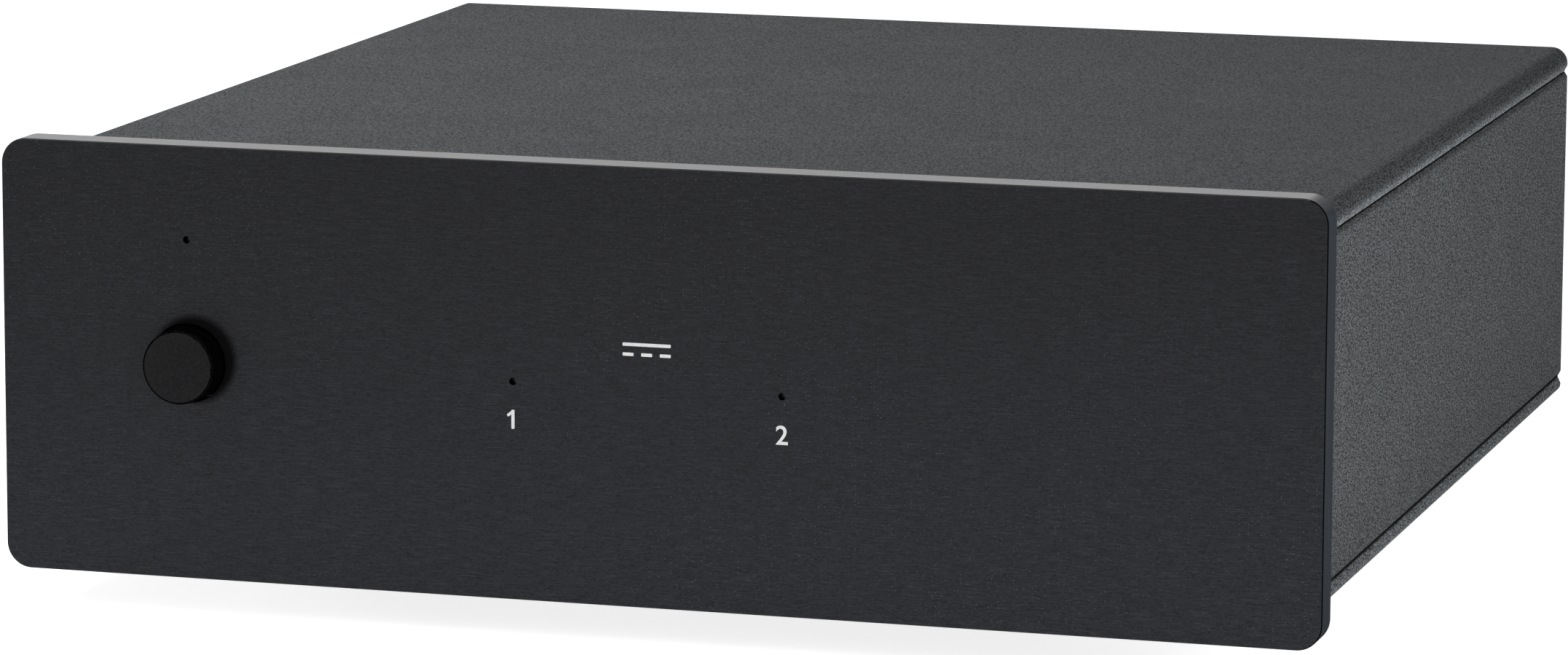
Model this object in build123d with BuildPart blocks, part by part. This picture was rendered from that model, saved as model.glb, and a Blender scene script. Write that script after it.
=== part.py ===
from build123d import *
from math import atan, cos, degrees, radians, sin, tan
import os

# Linear power supply for hi-fi gear: a thick front panel on a case of four extrusions.
# Millimetres. +X right, +Y to the rear, +Z up, origin under the middle at the surface it stands on.

os.makedirs("parts", exist_ok=True)

# ------------------------------------------------------------------ driving dimensions

# front panel
panel_width = 206.0
panel_height = 66.5
panel_thickness = 5.7
panel_corner = 3.9
panel_edge_break = 0.25
panel_ground_gap = 5.5
pinhole_radius = 0.575
pinhole_web = 1.5

# case of four extrusions behind the panel
case_side_inset = 2.5
case_top_inset = 3.0
case_bottom_inset = 3.75
case_length = 196.3
cover_thickness = 2.6
side_thickness = 3.0
top_edge_depth = 4.15
top_edge_round = 2.7
bottom_edge_depth = 2.8
bottom_edge_round = 1.5
lip_inset = 0.55
lip_height = 1.15
side_top_chamfer = (0.5, 0.75)
side_bottom_chamfer = (0.55, 0.95)
tongue_width = 1.0
tongue_length = 2.0
tongue_clearance = 0.1
channel_radius = 3.3
channel_drop = 3.0
channel_slot = 1.4
channel_side_gap = 3.0
fit_gap = 0.15

# plates that close the ends of the case
frame_thickness = 1.5
rear_thickness = 2.0
rear_recess = 1.0
end_plate_corner = 0.8
panel_screw_inset = 43.0
panel_screw_rise = 20.0

# screws
screw_radius = 1.5
thread_clearance = 0.05
hole_clearance = 0.2
head_radius = 2.75
head_height = 1.9
head_clearance = 0.4
cross_length = 3.2
cross_width = 0.8
cross_depth = 1.0
screw_end_break = 0.4
short_screw_length = 5.0
case_screw_length = 10.0

# power button and its switch
button_inset = 30.0
button_radius = 5.7
button_face_break = 0.35
button_proud = 4.35
button_hole_clearance = 0.4
button_travel = 2.5
button_flange_radius = 7.2
button_flange_thickness = 1.2
button_stop_gap = 0.2
button_socket_depth = 5.0
plunger_radius = 1.6
plunger_clearance = 0.06
plunger_collar_radius = 2.4
plunger_collar_thickness = 1.0
switch_width = 8.5
switch_front_wall = 1.5
switch_back_wall = 0.8
switch_cavity_clearance = 0.25
spring_radius = 1.8
spring_wire_radius = 0.2
spring_turns = 4
spring_bound_length = 2.0
switch_pin_size = (0.9, 0.6)
switch_pin_length = 3.2
switch_pin_pitch = 4.5

# lamps and light pipes
power_lamp_rise = 18.9
output_lamp_x = 21.0
pipe_radius = 1.45
pipe_clearance = 0.1
pipe_collar_radius = 2.3
pipe_collar_thickness = 1.0
lamp_radius = 1.5
lamp_length = 5.0
lamp_rim_radius = 1.9
lamp_rim_thickness = 1.0
lamp_dome = 1.2
lamp_leg_pitch = 2.54
lamp_leg_size = 0.5
lamp_leg_length = 3.0

# front board
board_thickness = 1.6
front_spacer_length = 14.0
spacer_radius = 3.0
spacer_spigot_radius = 1.9
spacer_spigot_gap = 0.05
front_board_button_margin = 11.0
front_board_lamp_margin = 21.0
front_board_lift = 6.2
front_board_top_gap = 2.35
front_board_corner = 2.0
front_screw_inset = 4.0

# ribbon between the boards
header_length = 20.0
header_width = 6.0
header_height = 9.0
front_header_lift = 24.0
ribbon_width = 16.0
ribbon_thickness = 1.0
ribbon_bend = 8.0
ribbon_right = 22.0

# main board
main_spacer_length = 7.0
spacer_channel_gap = 0.4
main_board_width = 76.0
main_board_front_gap = 26.0
main_board_rear_gap = 20.0
main_screw_inset = 5.0
spigot_depth = 1.5

# feet
foot_side_inset = 28.5
foot_front_gap = 44.3
foot_rear_gap = 30.0
foot_base_radius = 9.5
foot_top_radius = 10.5
foot_edge_round = 1.2
foot_recess_radius = 4.2
foot_recess_depth = 5.0
nut_height = 2.4
nut_flats = 5.5
screw_end_proud = 0.6

# mains inlet with fuse drawer
inlet_side_inset = 42.5
inlet_flange = (50.0, 34.0)
inlet_flange_thickness = 2.5
inlet_flange_corner = 4.0
inlet_body = (27.6, 31.6)
inlet_body_corner = 1.5
inlet_body_depth = 22.0
inlet_cut_clearance = 0.15
inlet_screw_spread = 20.0
inlet_cavity = (24.4, 16.6)
inlet_cavity_rise = 5.4
inlet_cavity_depth = 18.0
inlet_cavity_bevel = 3.8
inlet_cavity_round = 1.5
blade_size = (2.0, 4.0)
blade_spread = 7.0
blade_drop = 2.0
blade_tip_gap = 2.0
blade_tip_break = 0.6
tag_size = (0.8, 4.8)
tag_length = 7.0
drawer_slot = (23.0, 6.9)
drawer_drop = 9.75
drawer_gap = 0.15
drawer_travel = 18.0
drawer_grip = 1.5
drawer_floor = 1.2
drawer_face = (25.4, 9.2)
drawer_face_thickness = 1.6
drawer_face_round = 0.8
drawer_pull_proud = 0.6
drawer_pull = (12.0, 1.4)
fuse_radius = 2.6
fuse_length = 20.0
fuse_cap_length = 5.0
fuse_glass_radius = 2.35
fuse_end_gap = 0.15
fuse_wall = 1.0
contact_width = 3.0
contact_thickness = 0.5
contact_spread = 7.8
contact_reach = 14.0

# earth stud
earth_inlet_spacing = 36.0
earth_rear_gap = 40.0
stud_radius = 2.0
stud_length = 7.0
stud_nut_flats = 7.0
stud_nut_height = 3.2
ring_radius = 4.0
ring_thickness = 0.8
ring_barrel_length = 5.0
ring_barrel_radius = 2.2

# transformer
transformer_setback = 86.0
core_radii = (18.0, 30.5)
core_height = 24.0
winding_radii = (12.0, 35.0)
winding_height = 31.0
winding_round = 7.0
tape_gap = 0.1
pad_radius = 32.0
pad_thickness = 2.0
dish_radius = 30.0
dish_thickness = 1.5
dish_depth = 2.0
dish_seat_radius = 11.0
bolt_radius = 3.0
bolt_clearance = 0.2
bolt_head_flats = 10.0
bolt_head_height = 4.0
bolt_nut_height = 5.0
bolt_end_proud = 2.0

# parts on the main board: rights and backs are from its left front corner, insets from its right
# edge and rear insets from its rear edge
capacitor_radius = 9.0
capacitor_height = 32.0
capacitor_rim = 0.8
capacitor_right = 30.0
capacitor_back = 26.0
capacitor_pitch = 20.0
capacitor_count = 4
small_capacitor_radius = 3.15
small_capacitor_height = 11.0
small_capacitor_gap = 1.5
small_capacitor_offset = 9.0
bridge_size = (4.0, 22.0, 16.0)
bridge_right = 15.0
bridge_backs = (36.0, 64.0)
bridge_notch = 3.0
film_size = (6.0, 14.0, 12.0)
film_places = ((15.0, 83.0), (7.0, 84.0), (7.0, 33.5))
sink_edge_gap = 3.0
sink_backs = (35.0, 70.0)
sink_length = 30.0
sink_height = 32.0
sink_base = 3.0
sink_fin_reach = 9.0
sink_fin_thickness = 1.5
sink_fin_count = 6
regulator_width = 10.0
regulator_body = (4.5, 9.0)
regulator_tab = (1.3, 15.5)
regulator_lift = 6.0
regulator_leg = (0.6, 0.8)
regulator_leg_pitch = 2.54
regulator_screw_rise = 12.5
power_relay_size = (12.5, 28.0, 15.0)
power_relay_right = 20.0
power_relay_rear_inset = 24.5
output_relay_size = (15.0, 19.0, 15.0)
output_relay_insets = (14.0, 33.0)
output_relay_rear_inset = 20.0
block_size = (8.0, 20.4, 10.0)
block_right = 5.0
block_rear_inset = 20.0
block_pitch = 5.08
block_hole_radius = 1.5
block_hole_rise = 3.5
block_hole_depth = 4.0
block_screw_radius = 1.4
block_screw_depth = 0.6
secondary_size = (8.0, 22.0, 9.0)
secondary_place = (5.0, 54.0)
secondary_pitch = 5.0
secondary_rise = 4.5
output_header_size = (8.0, 6.0, 7.0)
output_header_rear_inset = 5.3
board_fuse_place = (44.0, 11.0)
clip_width = 5.0
clip_wall = 0.5
clip_rise = 3.6
main_header_back = 8.0
resistor_radius = 1.2
resistor_length = 6.5
resistor_lead_radius = 0.35
resistor_lead_length = 1.6
resistor_right = 6.5
resistor_back = 14.0
resistor_pitch = 3.2
resistor_count = 4

# DC output sockets
socket_side_inset = 30.5
socket_pitch = 36.0
socket_rise = 0.0
socket_rim_radius = 7.0
socket_rim_thickness = 2.0
socket_rim_round = 0.6
socket_barrel_radius = 5.9
socket_barrel_length = 14.0
socket_bore_radius = 2.85
socket_bore_depth = 9.5
socket_pin_radius = 1.05
socket_pin_tip_gap = 1.0
socket_pin_tip_round = 0.5
socket_pin_shank_radius = 0.8
socket_pin_shoulder_gap = 0.5
socket_hole_clearance = 0.1
socket_nut_flats = 15.0
socket_nut_height = 2.2
socket_tag_size = (0.8, 2.6)
socket_tag_length = 5.0
socket_tag_spread = 3.0

# leads
mains_lead_radius = 1.3
coil_lead_radius = 0.9
output_lead_radius = 0.8
tag_stub = 5.0
earth_stub = 14.0
barrel_stub = 7.0
block_stub = 16.0
coil_stub = 5.0
primary_angles = (40.0, 50.0)
secondary_angles = (-20.0, -12.5, -5.0, 2.0)

# ------------------------------------------------------------------ derived places

rear_reach = inlet_flange_thickness + drawer_pull_proud - rear_recess
overall_length = button_proud + panel_thickness + case_length + rear_reach
panel_front = button_proud - overall_length / 2
case_front = panel_front + panel_thickness
case_rear = case_front + case_length
frame_rear = case_front + frame_thickness
rear_face = case_rear - rear_recess
rear_inside = rear_face - rear_thickness

panel_middle = panel_ground_gap + panel_height / 2
panel_top = panel_ground_gap + panel_height
case_bottom = panel_ground_gap + case_bottom_inset
case_top = panel_top - case_top_inset
case_half = panel_width / 2 - case_side_inset
side_inner = case_half - side_thickness
top_seam = case_top - top_edge_depth
bottom_seam = case_bottom + bottom_edge_depth
floor = case_bottom + cover_thickness
ceiling = case_top - cover_thickness
inner_height = ceiling - floor
inner_middle = (ceiling + floor) / 2

channel_x = side_inner - channel_side_gap - channel_radius
channel_bore = screw_radius + thread_clearance
screw_hole = screw_radius + hole_clearance
top_channel = ceiling - channel_drop
bottom_channel = floor + channel_drop
corner_screws = [(x, z) for x in (-channel_x, channel_x) for z in (bottom_channel, top_channel)]
panel_screws_at = [
    (x, panel_middle + z)
    for x in (panel_screw_inset - panel_width / 2, panel_width / 2 - panel_screw_inset)
    for z in (-panel_screw_rise, panel_screw_rise)
]

button_x = button_inset - panel_width / 2
button_z = panel_middle
button_hole = button_radius + button_hole_clearance
lamp_places = [
    (button_x, panel_middle + power_lamp_rise),
    (-output_lamp_x, panel_middle),
    (output_lamp_x, panel_middle),
]

front_board_y = frame_rear + front_spacer_length
front_board_rear = front_board_y + board_thickness
front_board_left = button_x - front_board_button_margin
front_board_right = output_lamp_x + front_board_lamp_margin
front_board_bottom = floor + front_board_lift
front_board_height = inner_height - front_board_lift - front_board_top_gap
front_board_middle = front_board_bottom + front_board_height / 2
front_board_centre = (front_board_left + front_board_right) / 2
front_board_width = front_board_right - front_board_left
front_screws_at = [
    (x, z)
    for x in (front_board_left + front_screw_inset, front_board_right - front_screw_inset)
    for z in (
        front_board_bottom + front_screw_inset,
        front_board_bottom + front_board_height - front_screw_inset,
    )
]

board_front = case_front + main_board_front_gap
board_length = case_length - main_board_front_gap - main_board_rear_gap
main_board_right = (
    channel_x - channel_radius - spacer_channel_gap - spacer_radius + main_screw_inset
)
main_board_left = main_board_right - main_board_width
board_middle_x = main_board_left + main_board_width / 2
board_middle_y = board_front + board_length / 2
board_under = floor + main_spacer_length
board_top = board_under + board_thickness
main_screws_at = [
    (board_middle_x + i * (main_board_width / 2 - main_screw_inset),
     board_middle_y + j * (board_length / 2 - main_screw_inset))
    for i in (-1, 1)
    for j in (-1, 1)
]

foot_x = case_half - foot_side_inset
feet_at = [
    (x, y)
    for x in (-foot_x, foot_x)
    for y in (case_front + foot_front_gap, case_rear - foot_rear_gap)
]

ribbon_x = main_board_left + ribbon_right
inlet_x = inlet_side_inset - case_half
inlet_z = inner_middle
earth_place = (inlet_x + earth_inlet_spacing, case_rear - earth_rear_gap)
# the transformer stands midway between the left wall and the main board
transformer_place = ((main_board_left - side_inner) / 2, case_front + transformer_setback)
last_socket_x = case_half - socket_side_inset
socket_xs = (last_socket_x - socket_pitch, last_socket_x)
socket_z = inner_middle + socket_rise


# ------------------------------------------------------------------ helpers

def facing_front(y):
    # plane at depth y that looks forward: its x is X and its y is Z
    return Plane.XZ.offset(-y)


def facing_rear(x, y, z):
    # plane that looks to the rear: its x is -X and its y is Z
    return Plane(origin=(x, y, z), x_dir=(-1, 0, 0), z_dir=(0, 1, 0))


def facing_down(z):
    # plane that looks down: its x is X and its y is -Y
    return Plane(origin=(0, 0, z), x_dir=(1, 0, 0), z_dir=(0, 0, -1))


def on_board(place):
    # a place on the main board, from the board's left front corner
    return (main_board_left + place[0], board_front + place[1])


def save(name, piece):
    piece.part.label = name
    export_step(piece.part, f"parts/{name}.step")


def add_screws(plane, places, shank_length):
    # cross head screws whose heads stand on the plane and whose shanks go into it
    with BuildSketch(plane) as head_outline:
        with Locations(*places):
            Circle(head_radius)
    heads = extrude(head_outline.sketch, amount=head_height)
    tops = heads.faces().filter_by(lambda face: face.normal_at().dot(plane.z_dir) > 0.9)
    fillet(tops.edges(), radius=head_height / 3)
    with BuildSketch(plane.offset(head_height)) as cross:
        with Locations(*places):
            Rectangle(cross_length, cross_width)
            Rectangle(cross_width, cross_length)
    extrude(cross.sketch, amount=-cross_depth, mode=Mode.SUBTRACT)
    with BuildSketch(plane) as shank_outline:
        with Locations(*places):
            Circle(screw_radius)
    shanks = extrude(shank_outline.sketch, amount=-shank_length)
    ends = shanks.faces().filter_by(lambda face: face.normal_at().dot(plane.z_dir) < -0.9)
    chamfer(ends.edges(), length=screw_end_break)


def add_nuts(plane, places, flats, height, bore):
    # hexagon nuts standing on the plane
    with BuildSketch(plane) as outline:
        with Locations(*places):
            RegularPolygon(flats / 2, 6, major_radius=False)
            Circle(bore, mode=Mode.SUBTRACT)
    extrude(outline.sketch, amount=height)


def corner_radii(points):
    # the largest arc that both runs beside each corner leave room for
    radii = []
    for before, corner, after in zip(points, points[1:], points[2:]):
        run_in = Vector(*corner) - Vector(*before)
        run_out = Vector(*after) - Vector(*corner)
        half_turn = radians(run_in.get_angle(run_out)) / 2
        radii.append(0.45 * min(run_in.length, run_out.length) / tan(half_turn))
    return radii


def add_lead(points, radius):
    # one round lead along straight runs and tangent arcs
    with BuildLine() as route:
        FilletPolyline(*points, radius=corner_radii(points))
    with BuildSketch(Plane(origin=route.line @ 0, z_dir=route.line % 0)) as section:
        Circle(radius)
    sweep(section.sketch, path=route.line)


# ------------------------------------------------------------------ case extrusions

def cover(outer, inward, edge_depth, edge_round):
    # plate with rounded edges, an undercut lip, two tongues and two screw channels;
    # inward is -1 for a cover whose outer face looks up and +1 for one that looks down
    def level(depth):
        return outer + inward * depth

    tongue_middle = case_half - side_thickness / 2
    tongue_near = tongue_middle - tongue_width / 2
    tongue_far = tongue_middle + tongue_width / 2
    with BuildPart() as piece:
        with BuildSketch(facing_front(case_front)):
            with BuildLine():
                flat = Line((0, level(0)), (case_half - edge_round, level(0)))
                bend = JernArc(flat @ 1, (1, 0), edge_round, 90 * inward)
                Polyline(
                    bend @ 1,
                    (case_half, level(edge_depth - lip_height)),
                    (case_half - lip_inset, level(edge_depth)),
                    (tongue_far, level(edge_depth)),
                    (tongue_far, level(edge_depth + tongue_length)),
                    (tongue_near, level(edge_depth + tongue_length)),
                    (tongue_near, level(edge_depth)),
                    (side_inner, level(edge_depth)),
                    (side_inner, level(cover_thickness)),
                    (0, level(cover_thickness)),
                    (0, level(0)),
                )
            make_face()
            mirror(about=Plane.YZ)
            channels = [(x, level(cover_thickness + channel_drop)) for x in (-channel_x, channel_x)]
            with Locations(*channels):
                Circle(channel_radius)
            with Locations(*channels):
                Circle(channel_bore, mode=Mode.SUBTRACT)
            slots = [(x, level(cover_thickness + channel_drop + channel_radius)) for x, _ in channels]
            with Locations(*slots):
                Rectangle(channel_slot, 2 * channel_radius, mode=Mode.SUBTRACT)
        extrude(amount=-case_length)
        # the channels stop short of the plates that close the ends
        end_stops = ((case_front, frame_thickness), (case_rear, -(rear_recess + rear_thickness)))
        stop_height = channel_drop + channel_radius
        stops = [(x, level(cover_thickness + stop_height / 2)) for x, _ in channels]
        for end, depth in end_stops:
            with BuildSketch(facing_front(end)):
                with Locations(*stops):
                    Rectangle(2 * channel_radius + fit_gap, stop_height)
            extrude(amount=-depth, mode=Mode.SUBTRACT)
        if inward > 0:
            # holes for the feet, the transformer bolt and the blind spigot holes
            with BuildSketch(Plane.XY.offset(floor)):
                with Locations(*feet_at):
                    Circle(screw_hole)
                with Locations(transformer_place):
                    Circle(bolt_radius + bolt_clearance)
            extrude(amount=-cover_thickness, mode=Mode.SUBTRACT)
            with BuildSketch(Plane.XY.offset(floor)):
                with Locations(*main_screws_at):
                    Circle(spacer_spigot_radius + spacer_spigot_gap)
                with Locations(earth_place):
                    Circle(stud_radius)
            extrude(amount=-spigot_depth, mode=Mode.SUBTRACT)
    return piece


top_cover = cover(case_top, -1, top_edge_depth, top_edge_round)
save("top_cover", top_cover)

bottom_cover = cover(case_bottom, 1, bottom_edge_depth, bottom_edge_round)
save("bottom_cover", bottom_cover)


def side_panel(side):
    # side wall with a groove for the tongue of each cover; side is -1 left, 1 right
    top_in, top_down = side_top_chamfer
    bottom_in, bottom_up = side_bottom_chamfer
    groove_width = tongue_width + 2 * tongue_clearance
    groove_depth = tongue_length + tongue_clearance
    groove_x = side * (case_half - side_thickness / 2)
    with BuildPart() as piece:
        with BuildSketch(facing_front(case_front)):
            Polygon(
                (side * side_inner, bottom_seam),
                (side * (case_half - bottom_in), bottom_seam),
                (side * case_half, bottom_seam + bottom_up),
                (side * case_half, top_seam - top_down),
                (side * (case_half - top_in), top_seam),
                (side * side_inner, top_seam),
                align=None,
            )
            groove_zs = (bottom_seam + groove_depth / 2, top_seam - groove_depth / 2)
            with Locations(*[(groove_x, z) for z in groove_zs]):
                Rectangle(groove_width, groove_depth, mode=Mode.SUBTRACT)
        extrude(amount=-case_length)
    return piece


for side, name in ((-1, "left_side_panel"), (1, "right_side_panel")):
    save(name, side_panel(side))

# ------------------------------------------------------------------ front panel and frame

with BuildPart() as front_panel:
    with BuildSketch(facing_front(panel_front)):
        with Locations((0, panel_middle)):
            RectangleRounded(panel_width, panel_height, panel_corner)
    extrude(amount=-panel_thickness)
    rims = front_panel.faces().filter_by(Axis.Y).edges()
    chamfer(rims, length=panel_edge_break)
    with BuildSketch(facing_front(panel_front)):
        with Locations((button_x, button_z)):
            Circle(button_hole)
        with Locations(*lamp_places):
            Circle(pinhole_radius)
    extrude(amount=-panel_thickness, mode=Mode.SUBTRACT)
    # sockets for the light pipes
    with BuildSketch(facing_front(case_front)):
        with Locations(*lamp_places):
            Circle(pipe_radius + pipe_clearance)
    extrude(amount=panel_thickness - pinhole_web, mode=Mode.SUBTRACT)
    # tapped blind holes, and pockets that clear the heads of the frame screws
    with BuildSketch(facing_front(case_front)):
        with Locations(*panel_screws_at):
            Circle(channel_bore)
    extrude(amount=short_screw_length - frame_thickness + head_clearance, mode=Mode.SUBTRACT)
    with BuildSketch(facing_front(case_front)):
        with Locations(*corner_screws):
            Circle(head_radius + head_clearance)
    extrude(amount=head_height + head_clearance, mode=Mode.SUBTRACT)
save("front_panel", front_panel)

with BuildPart() as front_frame:
    with BuildSketch(facing_front(case_front)):
        with Locations((0, inner_middle)):
            RectangleRounded(2 * (side_inner - fit_gap), inner_height - 2 * fit_gap, end_plate_corner)
        with Locations(*corner_screws, *panel_screws_at):
            Circle(screw_hole, mode=Mode.SUBTRACT)
        with Locations((button_x, button_z)):
            Circle(button_hole, mode=Mode.SUBTRACT)
        with Locations(*lamp_places):
            Circle(pipe_radius + pipe_clearance, mode=Mode.SUBTRACT)
        with Locations(*front_screws_at):
            Circle(spacer_spigot_radius + spacer_spigot_gap, mode=Mode.SUBTRACT)
    extrude(amount=-frame_thickness)
save("front_frame", front_frame)

# ------------------------------------------------------------------ rear panel

inlet_cut = [side + 2 * inlet_cut_clearance for side in inlet_body]
socket_hole = socket_barrel_radius + socket_hole_clearance
socket_places = [(x, socket_z) for x in socket_xs]
inlet_screws_at = [(inlet_x - inlet_screw_spread, inlet_z), (inlet_x + inlet_screw_spread, inlet_z)]

with BuildPart() as rear_panel:
    with BuildSketch(facing_front(rear_inside)):
        with Locations((0, inner_middle)):
            RectangleRounded(2 * (side_inner - fit_gap), inner_height - 2 * fit_gap, end_plate_corner)
        with Locations(*corner_screws, *inlet_screws_at):
            Circle(screw_hole, mode=Mode.SUBTRACT)
        with Locations((inlet_x, inlet_z)):
            RectangleRounded(*inlet_cut, inlet_body_corner, mode=Mode.SUBTRACT)
        with Locations(*socket_places):
            Circle(socket_hole, mode=Mode.SUBTRACT)
    extrude(amount=-rear_thickness)
save("rear_panel", rear_panel)

with BuildPart() as case_screws:
    add_screws(facing_front(case_front), corner_screws, case_screw_length)
    add_screws(facing_rear(0, rear_face, 0), corner_screws, case_screw_length)
save("case_screws", case_screws)

# ------------------------------------------------------------------ feet

foot_height = case_bottom
foot_taper = degrees(atan((foot_top_radius - foot_base_radius) / foot_height))

with BuildPart() as feet:
    with BuildSketch(Plane.XY):
        with Locations(*feet_at):
            Circle(foot_base_radius)
    extrude(amount=foot_height, taper=-foot_taper)
    fillet(feet.edges().group_by(Axis.Z)[0], radius=foot_edge_round)
    with BuildSketch(Plane.XY):
        with Locations(*feet_at):
            Circle(foot_recess_radius)
    extrude(amount=foot_recess_depth, mode=Mode.SUBTRACT)
    with BuildSketch(Plane.XY):
        with Locations(*feet_at):
            Circle(screw_hole)
    extrude(amount=foot_height, mode=Mode.SUBTRACT)
save("feet", feet)

foot_screw_length = foot_height - foot_recess_depth + cover_thickness + nut_height + screw_end_proud

with BuildPart() as foot_screws:
    add_screws(facing_down(foot_recess_depth), [(x, -y) for x, y in feet_at], foot_screw_length)
save("foot_screws", foot_screws)

with BuildPart() as small_nuts:
    add_nuts(Plane.XY.offset(floor), feet_at, nut_flats, nut_height, channel_bore)
    add_nuts(facing_front(rear_inside), inlet_screws_at, nut_flats, nut_height, channel_bore)
save("small_nuts", small_nuts)

# ------------------------------------------------------------------ power button and switch

flange_front = frame_rear + button_stop_gap
flange_rear = flange_front + button_flange_thickness
spring_rest_length = button_travel + spring_bound_length
switch_depth = (switch_front_wall + button_stop_gap + plunger_collar_thickness
                + spring_rest_length + switch_back_wall)
switch_front = front_board_y - switch_depth
cavity_front = switch_front + switch_front_wall
cavity_rear = front_board_y - switch_back_wall
collar_front = cavity_front + button_stop_gap
collar_rear = collar_front + plunger_collar_thickness
cavity_radius = plunger_collar_radius + switch_cavity_clearance
button_place = (button_x, button_z)
pin_offsets = [
    (button_x + i * switch_pin_pitch / 2, button_z + j * switch_pin_pitch / 2)
    for i in (-1, 1)
    for j in (-1, 1)
]

with BuildPart() as power_button:
    with BuildSketch(facing_front(panel_front - button_proud)):
        with Locations(button_place):
            Circle(button_radius)
    extrude(amount=-(flange_rear - panel_front + button_proud))
    chamfer(power_button.faces().sort_by(Axis.Y)[0].edges(), length=button_face_break)
    with BuildSketch(facing_front(flange_front)):
        with Locations(button_place):
            Circle(button_flange_radius)
    extrude(amount=-button_flange_thickness)
    with BuildSketch(facing_front(flange_rear)):
        with Locations(button_place):
            Circle(plunger_radius)
    extrude(amount=button_socket_depth, mode=Mode.SUBTRACT)
save("power_button", power_button)

with BuildPart() as switch_plunger:
    with BuildSketch(facing_front(flange_rear - button_socket_depth)):
        with Locations(button_place):
            Circle(plunger_radius)
    extrude(amount=-(collar_rear - flange_rear + button_socket_depth))
    with BuildSketch(facing_front(collar_front)):
        with Locations(button_place):
            Circle(plunger_collar_radius)
    extrude(amount=-plunger_collar_thickness)
save("switch_plunger", switch_plunger)

with BuildPart() as switch_body:
    with BuildSketch(facing_front(switch_front)):
        with Locations(button_place):
            Rectangle(switch_width, switch_width)
    extrude(amount=-switch_depth)
    chamfer(switch_body.edges().filter_by(Axis.Y), length=screw_end_break)
    with BuildSketch(facing_front(cavity_front)):
        with Locations(button_place):
            Circle(cavity_radius)
    extrude(amount=-(cavity_rear - cavity_front), mode=Mode.SUBTRACT)
    with BuildSketch(facing_front(switch_front)):
        with Locations(button_place):
            Circle(plunger_radius + plunger_clearance)
    extrude(amount=-switch_front_wall, mode=Mode.SUBTRACT)
    with BuildSketch(facing_front(front_board_y)):
        with Locations(*pin_offsets):
            Rectangle(*switch_pin_size)
    extrude(amount=-switch_pin_length)
save("switch_body", switch_body)

# the spring's wire ends touch the collar and the back wall
spring_start = collar_rear + spring_wire_radius
spring_length = cavity_rear - collar_rear - 2 * spring_wire_radius

with BuildPart() as switch_spring:
    with BuildLine():
        coil = Helix(
            pitch=spring_length / spring_turns,
            height=spring_length,
            radius=spring_radius,
            center=(button_x, spring_start, button_z),
            direction=(0, 1, 0),
        )
    with BuildSketch(Plane(origin=coil @ 0, z_dir=coil % 0)):
        Circle(spring_wire_radius)
    sweep(is_frenet=True)
save("switch_spring", switch_spring)

# ------------------------------------------------------------------ front board, lamps, light pipes

lamp_front = front_board_y - lamp_length
leg_places = [(x + i * lamp_leg_pitch / 2, z) for x, z in lamp_places for i in (-1, 1)]
pipe_front = panel_front + pinhole_web

with BuildPart() as front_board:
    with BuildSketch(facing_front(front_board_y)):
        with Locations((front_board_centre, front_board_middle)):
            RectangleRounded(front_board_width, front_board_height, front_board_corner)
        with Locations(*front_screws_at):
            Circle(screw_hole, mode=Mode.SUBTRACT)
        with Locations(*pin_offsets):
            Rectangle(*switch_pin_size, mode=Mode.SUBTRACT)
        with Locations(*leg_places):
            Rectangle(lamp_leg_size, lamp_leg_size, mode=Mode.SUBTRACT)
    extrude(amount=-board_thickness)
save("front_board", front_board)

with BuildPart() as front_board_spacers:
    with BuildSketch(facing_front(frame_rear)):
        with Locations(*front_screws_at):
            Circle(spacer_radius)
    extrude(amount=-front_spacer_length)
    with BuildSketch(facing_front(frame_rear)):
        with Locations(*front_screws_at):
            Circle(spacer_spigot_radius)
    extrude(amount=frame_thickness)
    with BuildSketch(facing_front(front_board_y)):
        with Locations(*front_screws_at):
            Circle(channel_bore)
    extrude(amount=short_screw_length, mode=Mode.SUBTRACT)
save("front_board_spacers", front_board_spacers)

with BuildPart() as status_lamps:
    with BuildSketch(facing_front(lamp_front)):
        with Locations(*lamp_places):
            Circle(lamp_radius)
    domes = extrude(amount=-lamp_length)
    fillet(domes.edges().group_by(Axis.Y)[0], radius=lamp_dome)
    with BuildSketch(facing_front(front_board_y)):
        with Locations(*lamp_places):
            Circle(lamp_rim_radius)
    extrude(amount=lamp_rim_thickness)
    with BuildSketch(facing_front(front_board_y)):
        with Locations(*leg_places):
            Rectangle(lamp_leg_size, lamp_leg_size)
    extrude(amount=-lamp_leg_length)
save("status_lamps", status_lamps)

with BuildPart() as light_pipes:
    with BuildSketch(facing_front(pipe_front)):
        with Locations(*lamp_places):
            Circle(pipe_radius)
    extrude(amount=-(lamp_front - pipe_front))
    with BuildSketch(facing_front(frame_rear)):
        with Locations(*lamp_places):
            Circle(pipe_collar_radius)
    extrude(amount=-pipe_collar_thickness)
save("light_pipes", light_pipes)

# ------------------------------------------------------------------ ribbon between the boards

front_header_z = front_board_bottom + front_header_lift
main_header_y = board_front + main_header_back
ribbon_start = front_board_rear + header_height
ribbon_end = board_top + header_height

with BuildPart() as ribbon_headers:
    with BuildSketch(facing_front(front_board_rear)):
        with Locations((ribbon_x, front_header_z)):
            Rectangle(header_length, header_width)
    front_header = extrude(amount=-header_height)
    chamfer(front_header.edges().filter_by(Axis.Y), length=screw_end_break)
    with BuildSketch(Plane.XY.offset(board_top)):
        with Locations((ribbon_x, main_header_y)):
            Rectangle(header_length, header_width)
    main_header = extrude(amount=header_height)
    chamfer(main_header.edges().filter_by(Axis.Z), length=screw_end_break)
save("ribbon_headers", ribbon_headers)

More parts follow.
